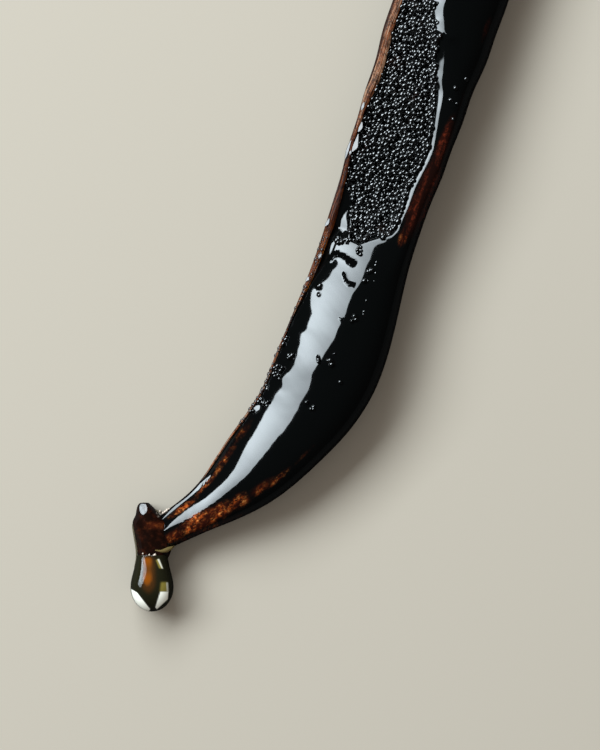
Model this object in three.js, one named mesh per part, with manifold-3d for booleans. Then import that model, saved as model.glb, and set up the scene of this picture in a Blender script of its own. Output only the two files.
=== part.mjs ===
// A split vanilla pod, lying on its back with the cut side up. The hooked stalk end points
// to -X and the closed blossom end to +X. Thick syrup covers the stalk half and one drop of
// it hangs from the hook; the rest of the pod lies open on a bed of tiny seeds.
// Millimetres, +Z up. The origin is under the middle of the whole, on the surface it lies on.
import * as THREE from 'three';
import { mergeVertices } from 'three/addons/utils/BufferGeometryUtils.js';
import Module from 'manifold-3d';

const wasm = await Module();
wasm.setup();

// ---------- driving dimensions (mm) ----------

// Middle line of the pod seen from above, from the stalk end to the blossom end: x, y.
const route = [
  [-56.4, 3.0],
  [-52.7, 0.55],
  [-48.9, -1.05],
  [-44.8, -2.15],
  [-40.7, -2.25],
  [-32.4, -1.3],
  [-17.2, 0.1],
  [0, 1.6],
  [20, 2.2],
  [42, 1.3],
  [61.5, -1.1],
];

// Half of the pod's width at a few distances along it: distance, half width.
const halfWidths = [
  [0, 1.05],
  [3, 1.45],
  [7, 2.45],
  [10.5, 2.88],
  [15.5, 3.42],
  [24, 3.0],
  [38, 3.5],
  [62, 3.65],
  [88, 3.3],
  [104, 2.7],
  [119, 1.5],
];

// The rolled right lip beside the seed bed, as shares of the half width right of the middle:
// distance, the lip's inner edge, its crest.
const lip = [
  [24.4, 0.46, 0.64],
  [27.5, 0.54, 0.73],
  [31, 0.61, 0.78],
  [34.2, 0.38, 0.62],
  [37.2, 0.07, 0.4],
  [40.2, -0.22, 0.2],
  [46, -0.26, 0.18],
  [60, -0.1, 0.3],
  [82, 0.12, 0.45],
  [109, 0.25, 0.5],
];

const slimHeight = 1.2; // height that even the slimmest stretch keeps
const heightPerHalfWidth = 0.93; // further height for each mm of half width
const flatShare = 0.3; // half of the flat underside, as a share of the half width
const syrupCrest = 0.27; // the syrup's crest, as a share of the half width right of the middle
const widestShare = 0.47; // height of the widest point, as a share of the crest's height
const rimShare = 0.62; // height of the left rim's foot, likewise
const syrupTurn = 0.4; // roundness of the syrup's crest, as a share of the half width
const lipTurn = 0.45; // roundness of the lip, as a share of its breadth up to the crest
const lipSlope = 0.8; // slope that the lip's inner side runs out to
const unevenWidth = 0.05; // slow swelling of the outline
const bluntEnd = 4.5; // length over which the blossom end rounds off

const rimWidth = 0.65; // left edge of the cut
const rimRise = 0.18;
const syrupReach = 0.62; // right edge of the syrup, as a share of the half width
const troughStart = 4;
const troughEnd = 110;
const taperLength = 22; // the slit narrows over this length before it ends
const shallowDepth = 0.5; // trough depth at the neck
const fullDepth = 1.7;
const deepFrom = 10; // distance along the pod where the trough is fully deep
const bedStart = 24.4;
const bedSink = 0.3; // the bed lies this far below the right lip
const bedRelief = 0.08;
const gap = 0.1; // between the husk and what fills it

const stubFoot = new THREE.Vector3(-58.1, 3.25, 1.25);
const stubTop = new THREE.Vector3(-55.0, 4.63, 1.2);
const stubRadius = 1.12;
const stubTopRadius = 0.66;

const dropTop = new THREE.Vector3(-58.2, 3.21, 1.35);
const dropTip = new THREE.Vector3(-61.45, 1.76, 1.45);
const dropNeckRadius = 1.0;
const dropRadius = 1.38;
const dropWidestAt = 0.62; // share of the drop's length, from its neck

// ---------- materials ----------

const finish = (color, roughness) =>
  new THREE.MeshStandardMaterial({ color, roughness, metalness: 0 });
const podSkin = finish(0x3a1c10, 0.35);
const seedMass = finish(0x0b0908, 0.3);
const darkSyrup = finish(0x080706, 0.08);
const amberSyrup = finish(0x8a4c10, 0.05);

// ---------- values along the pod ----------

// A smooth line through the rows of a table. The first number of a row is the distance along.
function smooth(table, at) {
  const last = table.length - 1;
  let i = 0;
  while (i < last - 1 && table[i + 1][0] < at) i += 1;
  const slope = (k, column) => {
    const a = table[Math.max(k - 1, 0)];
    const b = table[Math.min(k + 1, last)];
    return (b[column] - a[column]) / (b[0] - a[0]);
  };
  const [p, q] = [table[i], table[i + 1]];
  const h = q[0] - p[0];
  const f = THREE.MathUtils.clamp((at - p[0]) / h, 0, 1);
  const blend = (c) => {
    const rise = q[c] - p[c];
    const start = slope(i, c) * h;
    const end = slope(i + 1, c) * h;
    return p[c] + f * (start + f * (3 * rise - 2 * start - end + f * (start + end - 2 * rise)));
  };
  return p.slice(1).map((_, c) => blend(c + 1));
}

const routeTable = [];
for (const [x, y] of route) {
  const before = routeTable.at(-1);
  const along = before ? before[0] + Math.hypot(x - before[1], y - before[2]) : 0;
  routeTable.push([along, x, y]);
}
const podLength = routeTable.at(-1)[0];

const ramp = (from, to, at) => THREE.MathUtils.smoothstep(at, from, to);
const swell = (s) =>
  unevenWidth * (Math.sin(s * 0.68) + 0.7 * Math.sin(s * 1.53 + 1)) * ramp(24, 32, s);

// Everything that a cross-section at distance s needs.
function rib(s) {
  const [x, y] = smooth(routeTable, s);
  const [xa, ya] = smooth(routeTable, Math.max(s - 0.1, 0));
  const [xb, yb] = smooth(routeTable, Math.min(s + 0.1, podLength));
  const heading = Math.atan2(yb - ya, xb - xa);
  const w = smooth(halfWidths, s)[0] + swell(s);
  const crest = slimHeight + heightPerHalfWidth * w;
  const rim = Math.min(rimWidth, 0.3 * w);
  const left = -w + rim;
  const [lipEdge, lipCrest] = smooth(lip, s);
  const { lerp } = THREE.MathUtils;
  const right = w * lerp(syrupReach, lipEdge, ramp(bedStart - 2.5, bedStart, s));
  const taper = 1 - 0.75 * ramp(troughEnd - taperLength, troughEnd + 3, s);
  return {
    s,
    x,
    y,
    heading,
    w,
    crest,
    left,
    rimFoot: rimShare * crest,
    right: lerp(left, right, taper),
    crestAt: w * lerp(syrupCrest, lipCrest, ramp(bedStart - 4, bedStart, s)),
    lipCut: ramp(bedStart, bedStart + 1.2, s),
  };
}

// A slope that starts level and turns over a short distance into a steady one.
const easedDrop = (d, turn) => d - turn * (1 - Math.exp(-d / turn));

// Height of the rounded top at u, measured to the right of the middle line.
function topAt(r, u) {
  if (u >= r.crestAt) {
    const widest = widestShare * r.crest;
    const f = Math.min((u - r.crestAt) / (r.w - r.crestAt), 1);
    return widest + (r.crest - widest) * Math.sqrt(1 - f * f);
  }
  const span = r.crestAt - r.left;
  const turn = syrupTurn * r.w;
  const share = easedDrop(r.crestAt - u, turn) / easedDrop(span, turn);
  const full = r.crest - (r.crest - r.rimFoot) * share;
  const rolled = r.crest - lipSlope * easedDrop(r.crestAt - u, lipTurn * (r.crestAt - r.right));
  return THREE.MathUtils.lerp(full, rolled, r.lipCut);
}

const troughDepth = (s) =>
  THREE.MathUtils.lerp(shallowDepth, fullDepth, ramp(troughStart, deepFrom, s)) *
  (1 - 0.6 * ramp(troughEnd - 12, troughEnd, s));

// Height of the trough's brim, which beside the seeds is a straight line across it.
function brimAt(r, u) {
  const across = (u - r.left) / (r.right - r.left);
  const line = THREE.MathUtils.lerp(r.rimFoot, topAt(r, r.right), across);
  return r.lipCut > 0 ? line : topAt(r, u);
}

// Trough wall from its right edge to its left edge. clearance draws it in all round.
function troughWall(r, depth, clearance, steps) {
  const wall = [];
  const right = r.right - clearance;
  const left = r.left + clearance;
  for (let i = 0; i <= steps; i += 1) {
    const angle = (Math.PI * i) / steps;
    const u = (right + left) / 2 + ((right - left) / 2) * Math.cos(angle);
    const sink = Math.max(depth - clearance, 0) * Math.sin(angle) ** 0.7;
    wall.push([u, brimAt(r, u) - sink]);
  }
  return wall;
}

// ---------- solids from cross-sections ----------

function place(r, [u, z]) {
  return new THREE.Vector3(r.x + u * Math.sin(r.heading), r.y - u * Math.cos(r.heading), z);
}

// Joins closed rings of points, all with the same count, into one closed solid.
function loft(rings) {
  const count = rings[0].points.length;
  const points = rings.flatMap((ring) => ring.points.map((p) => place(ring.rib, p)));
  const faces = [];
  for (let k = 0; k < rings.length - 1; k += 1) {
    for (let i = 0; i < count; i += 1) {
      const a = k * count + i;
      const b = k * count + ((i + 1) % count);
      faces.push(a, b + count, b, a, a + count, b + count);
    }
  }
  const cap = (ring, offset, flip) => {
    const outline = ring.points.map(([u, z]) => new THREE.Vector2(u, z));
    for (const [a, b, c] of THREE.ShapeUtils.triangulateShape(outline, [])) {
      faces.push(offset + a, offset + (flip ? c : b), offset + (flip ? b : c));
    }
  };
  cap(rings[0], 0, false);
  cap(rings.at(-1), (rings.length - 1) * count, true);
  const geometry = new THREE.BufferGeometry();
  geometry.setAttribute('position', new THREE.Float32BufferAttribute(points.flatMap((p) => [...p]), 3));
  geometry.setIndex(faces);
  return geometry;
}

function toSolid(geometry) {
  const bare = geometry.clone();
  bare.deleteAttribute('normal');
  bare.deleteAttribute('uv');
  const merged = mergeVertices(bare, 1e-4);
  return new wasm.Manifold(
    new wasm.Mesh({
      numProp: 3,
      vertProperties: new Float32Array(merged.attributes.position.array),
      triVerts: new Uint32Array(merged.index.array),
    }),
  );
}

function toGeometry(solid) {
  const { vertProperties, triVerts } = solid.getMesh();
  const geometry = new THREE.BufferGeometry();
  geometry.setAttribute('position', new THREE.Float32BufferAttribute(vertProperties, 3));
  geometry.setIndex([...triVerts]);
  return geometry;
}

// A turned shape along the line from one point to another: profile rows are share, radius.
function turned(from, to, profile, sides) {
  const length = from.distanceTo(to);
  const outline = profile.map(([share, radius]) => new THREE.Vector2(radius, share * length));
  const geometry = new THREE.LatheGeometry(outline, sides);
  const axis = to.clone().sub(from).normalize();
  geometry.applyQuaternion(new THREE.Quaternion().setFromUnitVectors(new THREE.Vector3(0, 1, 0), axis));
  geometry.translate(from.x, from.y, from.z);
  return geometry;
}

const evenSteps = (from, to, pitch) => {
  const count = Math.ceil((to - from) / pitch);
  return Array.from({ length: count + 1 }, (_, i) => from + ((to - from) * i) / count);
};

// ---------- husk ----------

function huskRing(s, hasTrough) {
  const r = rib(s);
  const { w, crest } = r;
  const flat = flatShare * w;
  const widest = widestShare * crest;
  const points = [];
  const under = 5;
  for (let i = 0; i < under; i += 1) {
    const angle = (Math.PI / 2) * (i / under);
    points.push([flat + (w - flat) * Math.sin(angle), widest * (1 - Math.cos(angle))]);
  }
  const over = 9;
  for (let i = 0; i < over; i += 1) {
    const u = w - (w - r.right) * (1 - Math.cos((Math.PI / 2) * (i / over)));
    points.push([u, topAt(r, u)]);
  }
  points.push(...troughWall(r, hasTrough ? troughDepth(s) : 0, 0, 8));
  const rim = w + r.left;
  const { rimFoot } = r;
  const rise = rimRise * ramp(2, 8, s) * (1 - ramp(troughEnd - 4, troughEnd + 2, s));
  points.push([r.left - 0.2 * rim, rimFoot + rise]);
  points.push([r.left - 0.6 * rim, rimFoot + 0.8 * rise - 0.05 * rim]);
  const leftWidest = 0.55 * rimFoot;
  points.push([-w + 0.08 * rim, rimFoot - 0.3 * rim]);
  for (let i = 0; i <= under; i += 1) {
    const angle = (Math.PI / 2) * (1 - i / under);
    points.push([-flat - (w - flat) * Math.sin(angle), leftWidest * (1 - Math.cos(angle))]);
  }
  return { rib: r, points: roundOff(r, points) };
}

// Draws a ring in towards its middle where the blossom end rounds off.
function roundOff(r, points) {
  const into = (r.s - (podLength - bluntEnd)) / bluntEnd;
  if (into <= 0) return points;
  const keep = Math.sqrt(Math.max(1 - into * into, 0.01));
  const middle = 0.42 * r.crest;
  return points.map(([u, z]) => [u * keep, middle + (z - middle) * keep]);
}

function husk() {
  const sliver = 0.05; // the trough's end walls stand almost upright
  const neck = evenSteps(0, troughStart - sliver, 0.8).map((s) => huskRing(s, false));
  const cut = evenSteps(troughStart, troughEnd, 1.4).map((s) => huskRing(s, true));
  const tail = evenSteps(troughEnd + sliver, podLength - bluntEnd, 1.5).map((s) => huskRing(s, false));
  const tip = [0.25, 0.5, 0.7, 0.85, 0.95, 1].map((f) =>
    huskRing(podLength - bluntEnd * (1 - f), false),
  );
  const body = toSolid(loft([...neck, ...cut, ...tail, ...tip]));
  const stub = turned(
    stubFoot,
    stubTop,
    [
      [0, 0],
      [0, 0.9 * stubRadius],
      [0.12, 0.97 * stubRadius],
      [0.35, stubRadius],
      [0.6, 0.97 * stubRadius],
      [0.8, 0.82 * stubRadius],
      [0.93, stubTopRadius],
      [0.97, 0.6 * stubTopRadius],
      [1, 0],
    ],
    16,
  );
  return toGeometry(body.add(toSolid(stub)));
}

// ---------- what fills the trough ----------

// A filling between two distances, whose top is given as heights over the trough.
function filling(from, to, pitch, surface) {
  const across = 8;
  const rings = evenSteps(from, to, pitch).map((s) => {
    const r = rib(s);
    const under = troughWall(r, troughDepth(s), gap, 8);
    const [right, left] = [under[0][0], under.at(-1)[0]];
    const points = under.slice(1, -1).reverse();
    for (let i = across; i >= 0; i -= 1) {
      const u = left + ((right - left) * i) / across;
      points.push([u, surface(r, u, i / across)]);
    }
    return { rib: r, points };
  });
  return toGeometry(toSolid(loft(rings)));
}

const syrupTop = (r, u) => topAt(r, u);

// The bed hangs a little below a straight line from the left rim to the right lip.
function bedTop(r, u, share) {
  const leftTop = r.rimFoot - 0.02;
  const rightTop = topAt(r, r.right) - bedSink;
  const relief = Math.sin(1.9 * r.s + 4 * share) * Math.sin(1.3 * r.s - 7 * share);
  const hollow = 0.12 * Math.sin(Math.PI * share);
  return THREE.MathUtils.lerp(leftTop, rightTop, share) + bedRelief * relief + hollow;
}

// ---------- drop ----------

function drop() {
  const profile = [[0, 0]];
  const steps = 12;
  for (let i = 0; i <= steps; i += 1) {
    const share = i / steps;
    const bulge =
      share < dropWidestAt
        ? THREE.MathUtils.lerp(dropNeckRadius, dropRadius, ramp(0, dropWidestAt, share))
        : dropRadius * Math.sqrt(1 - ((share - dropWidestAt) / (1 - dropWidestAt)) ** 2);
    profile.push([share, i === steps ? 0 : bulge]);
  }
  return toGeometry(toSolid(turned(dropTop, dropTip, profile, 20)));
}

// ---------- the pod ----------

function piece(name, geometry, material) {
  const mesh = new THREE.Mesh(geometry, material);
  mesh.name = name;
  return mesh;
}

const pod = new THREE.Group();
pod.add(piece('husk', husk(), podSkin));
pod.add(piece('syrup', filling(troughStart + gap, bedStart - gap / 2, 0.9, syrupTop), darkSyrup));
pod.add(piece('seed_bed', filling(bedStart + gap / 2, troughEnd - gap, 1.2, bedTop), seedMass));
pod.add(piece('drop', drop(), amberSyrup));

export default pod;
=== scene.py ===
import math

import bmesh
import bpy
import numpy as np
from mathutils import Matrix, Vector


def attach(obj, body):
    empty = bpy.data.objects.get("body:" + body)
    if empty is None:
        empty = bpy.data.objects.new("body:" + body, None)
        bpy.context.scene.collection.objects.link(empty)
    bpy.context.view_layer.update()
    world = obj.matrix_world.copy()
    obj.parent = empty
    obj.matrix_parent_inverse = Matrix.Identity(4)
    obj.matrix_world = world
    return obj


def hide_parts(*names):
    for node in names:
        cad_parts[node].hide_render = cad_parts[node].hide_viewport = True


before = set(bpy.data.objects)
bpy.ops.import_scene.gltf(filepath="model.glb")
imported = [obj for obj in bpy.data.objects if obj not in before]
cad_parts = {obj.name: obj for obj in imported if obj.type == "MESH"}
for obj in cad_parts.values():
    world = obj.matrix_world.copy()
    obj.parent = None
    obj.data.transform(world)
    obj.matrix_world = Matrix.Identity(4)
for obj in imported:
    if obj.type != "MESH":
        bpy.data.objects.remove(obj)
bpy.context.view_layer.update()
mm = 0.001
print("frame loaded")


# sRGB hex to the linear colour that shaders use
def linear(hexText):
    parts = [int(hexText[i : i + 2], 16) / 255 for i in (0, 2, 4)]
    return [p / 12.92 if p <= 0.04045 else ((p + 0.055) / 1.055) ** 2.4 for p in parts] + [1.0]


# adds a node with its settings; values go to its live inputs in their order, or by name
def addNode(tree, kind, settings={}, *values, **named):
    node = tree.nodes.new(kind)
    for name, value in settings.items():
        setattr(node, name, value)
    live = [socket for socket in node.inputs if socket.enabled]
    byName = {socket.name.replace(" ", "_"): socket for socket in live[::-1]}
    pairs = list(zip(live, values)) + [(byName[name], value) for name, value in named.items()]
    for socket, value in pairs:
        if isinstance(value, bpy.types.Node):
            value = next(output for output in value.outputs if output.enabled)
        if isinstance(value, bpy.types.NodeSocket):
            tree.links.new(value, socket)
        else:
            socket.default_value = value
    return node


# settings that many nodes share
times = {"operation": "MULTIPLY"}
larger = {"operation": "MAXIMUM"}
blend = {"data_type": "RGBA"}
smoothly = {"interpolation_type": "SMOOTHSTEP"}
anyVector = {"data_type": "FLOAT_VECTOR"}


# the pod's form, in millimetres: s runs along it from the stalk, u across it, up is z.
# In all tables the first column is the distance along the pod, unless a note says otherwise
pod = {
    # the middle line, as seen from above: x and y
    "route": [
        [-56.4, 3.0], [-52.7, 0.55], [-48.9, -1.05], [-44.8, -2.15], [-40.7, -2.25], [-32.4, -1.3],
        [-17.2, 0.1], [0, 1.6], [20, 2.2], [42, 1.3], [61.5, -1.1],
    ],
    "halfWidths": [
        [0, 1.05], [3, 1.45], [7, 2.45], [10.5, 2.88], [15.5, 3.42], [24, 3.0], [38, 3.5], [62, 3.65],
        [88, 3.3], [104, 2.7], [119, 1.5],
    ],
    # where the crest of the rolled right lip is, as a share of the half width
    "lipCrest": [
        [24.4, 0.64], [27.5, 0.73], [31, 0.78], [34.2, 0.62], [37.2, 0.4], [40.2, 0.2], [46, 0.18],
        [60, 0.3], [82, 0.45], [94, 0.42], [103, 0.2], [110, -0.05],
    ],
    "rimWidths": [
        [0, 0.05], [4, 0.08], [8, 0.16], [18, 0.16], [21, 0.42], [25, 0.52], [27.5, 0.42], [29.4, 0.34],
        [31, 0.34], [32.5, 0.5], [34, 0.68], [60, 0.65], [92, 0.5], [100, 0.75], [106, 1.35],
        [110, 2.22], [113, 2.1], [119, 1.2],
    ],
    "slimHeight": 1.2,  # the crest's height is this and a share of the half width
    "heightPerHalfWidth": 0.93,
    "widestShare": 0.47,  # heights of the widest place and of the rim's foot, as shares of the crest's
    "rimShare": 0.62,
    "shutRimShare": 0.93,
    "coreShare": 0.42,  # the height that the ends close towards
    "flatShare": 0.3,  # half the flat that it lies on, as a share of the half width
    "syrupCrest": 0.27,  # where the crest is before the seeds begin
    "leastOpening": 0.14,
    "bedStart": 24.4,
    "troughEnd": 110,
    "bluntEnd": 4.5,
    "firstRow": -0.5,
    "unevenWidth": 0.05,
    "swells": [[0.68, 1, 0], [1.53, 0.7, 1]],  # radians per mm, share and phase
    "flankFullness": 2.5,
}


# smooth curve through the rows of a table
def smoothRows(table, at):
    rows = np.array(table, float)
    x, y = rows[:, 0], rows[:, 1:]
    last = len(x) - 1
    order = np.arange(last + 1)
    before, after = np.maximum(order - 1, 0), np.minimum(order + 1, last)
    slope = (y[after] - y[before]) / (x[after] - x[before])[:, None]
    at = np.atleast_1d(np.asarray(at, float))
    i = np.clip(np.searchsorted(x, at) - 1, 0, last - 1)
    h = (x[i + 1] - x[i])[:, None]
    f = np.clip((at - x[i])[:, None] / h, 0, 1)
    rise, start, end = y[i + 1] - y[i], slope[i] * h, slope[i + 1] * h
    return y[i] + f * (start + f * (3 * rise - 2 * start - end + f * (start + end - 2 * rise)))


def ramp(start, end, at):
    f = np.clip((np.asarray(at, float) - start) / (end - start), 0, 1)
    return f * f * (3 - 2 * f)


def lerp(a, b, f):
    return a + (b - a) * f


# slow irregular waves between about -1 and 1, from two lengths in mm, the same in each run
def waves(s, u, alongLength, acrossLength, seedNumber):
    chance = np.random.default_rng(seedNumber)
    total = np.zeros(np.broadcast(s, u).shape)
    for _ in range(8):
        a, b = chance.uniform(0.6, 1.5, 2) * 2 * math.pi
        phase, turn = chance.uniform(0, 2 * math.pi), chance.choice([-1, 1])
        total = total + np.sin(a * s / alongLength + turn * b * u / acrossLength + phase)
    return total / 2.8


routePoints = np.array(pod["route"], float)
routeSteps = np.hypot(*np.diff(routePoints, axis=0).T)
routeTable = np.column_stack([np.concatenate([[0], np.cumsum(routeSteps)]), routePoints])
podLength = routeTable[-1, 0]


# what a cross-section needs, for an array of distances
def ribsAt(s):
    s = np.asarray(s, float)
    place = smoothRows(routeTable, s)
    ahead = smoothRows(routeTable, np.minimum(s + 0.1, podLength))
    behind = smoothRows(routeTable, np.maximum(s - 0.1, 0))
    heading = np.arctan2(ahead[:, 1] - behind[:, 1], ahead[:, 0] - behind[:, 0])
    # the width swells and shrinks a little: by two waves beside the seeds, by chance on the far half
    swell = sum(share * np.sin(s * rate + phase) for rate, share, phase in pod["swells"])
    swell = swell * ramp(24, 32, s) * ramp(56, 46, s)
    swell = pod["unevenWidth"] * (swell + 1.3 * waves(s, 0, 19, 1, 77) * ramp(46, 56, s))
    w = smoothRows(pod["halfWidths"], s)[:, 0] + swell
    lipCrest = smoothRows(pod["lipCrest"], s)[:, 0]
    crest = pod["slimHeight"] + pod["heightPerHalfWidth"] * w
    start = pod["bedStart"]
    crestAt = w * lerp(pod["syrupCrest"], lipCrest, ramp(start - 4, start, s))
    rim = np.minimum(smoothRows(pod["rimWidths"], s)[:, 0], w + crestAt - pod["leastOpening"])
    into = np.clip((s - (podLength - pod["bluntEnd"])) / pod["bluntEnd"], 0, 1)
    return {
        "s": s,
        "x": place[:, 0] + np.minimum(s, 0) * np.cos(heading),
        "y": place[:, 1] + np.minimum(s, 0) * np.sin(heading),
        "heading": heading,
        "w": w,
        "crest": crest,
        "crestAt": crestAt,
        "rim": rim,
        "left": -w + rim,
        "rimFoot": lerp(pod["rimShare"], pod["shutRimShare"], ramp(99, 109, s)) * crest,
        "widest": pod["widestShare"] * crest,
        "keep": np.sqrt(np.maximum(1 - into**2, 0.01)) * np.sqrt(1 - 0.6 * np.clip(-s, 0, 1) ** 2),
    }


# the right flank from the crest (1) to the widest place (0), a little squarer than an ellipse
def flankAt(ribs, wide, turn):
    power = 2 / pod["flankFullness"]
    crestAt, crest, widest = (ribs[key][:, None] for key in ("crestAt", "crest", "widest"))
    across = crestAt + (wide - crestAt) * np.cos(turn) ** power
    return across, widest + (crest - widest) * np.sin(turn) ** power


# rows of (across, up) to points in metres; each row stands on its own rib
def placed(ribs, across, up):
    middle = (pod["coreShare"] * ribs["crest"])[:, None]
    keep = ribs["keep"][:, None]
    across = across * keep
    up = middle + (up - middle) * keep
    turnX, turnY = np.sin(ribs["heading"])[:, None], np.cos(ribs["heading"])[:, None]
    x = ribs["x"][:, None] + across * turnX
    y = ribs["y"][:, None] - across * turnY
    return np.stack([x, y, up], axis=2) * mm


# a closed mesh from rings of points (rows x columns); attributes are values for the materials
def ringMesh(name, points, attributes=None):
    rows, columns = points.shape[:2]
    index = np.arange(rows * columns).reshape(rows, columns)
    right = np.roll(index, -1, axis=1)
    faces = np.stack([index[:-1], index[1:], right[1:], right[:-1]], axis=-1).reshape(-1, 4).tolist()
    faces += [index[0].tolist(), index[-1][::-1].tolist()]
    mesh = bpy.data.meshes.new(name)
    mesh.from_pydata(points.reshape(-1, 3).tolist(), [], faces)
    for key, values in (attributes or {}).items():
        layer = mesh.attributes.new(key, "FLOAT", "POINT")
        layer.data.foreach_set("value", np.broadcast_to(values, (rows, columns)).ravel().astype(np.float32))
    mesh.update()
    mesh.shade_smooth()
    return mesh


def addPiece(name, mesh, *finishes):
    piece = bpy.data.objects.new(name, mesh)
    bpy.context.scene.collection.objects.link(piece)
    while len(mesh.materials):
        mesh.materials.pop()
    for material in finishes:
        mesh.materials.append(material)
    return piece


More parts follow.
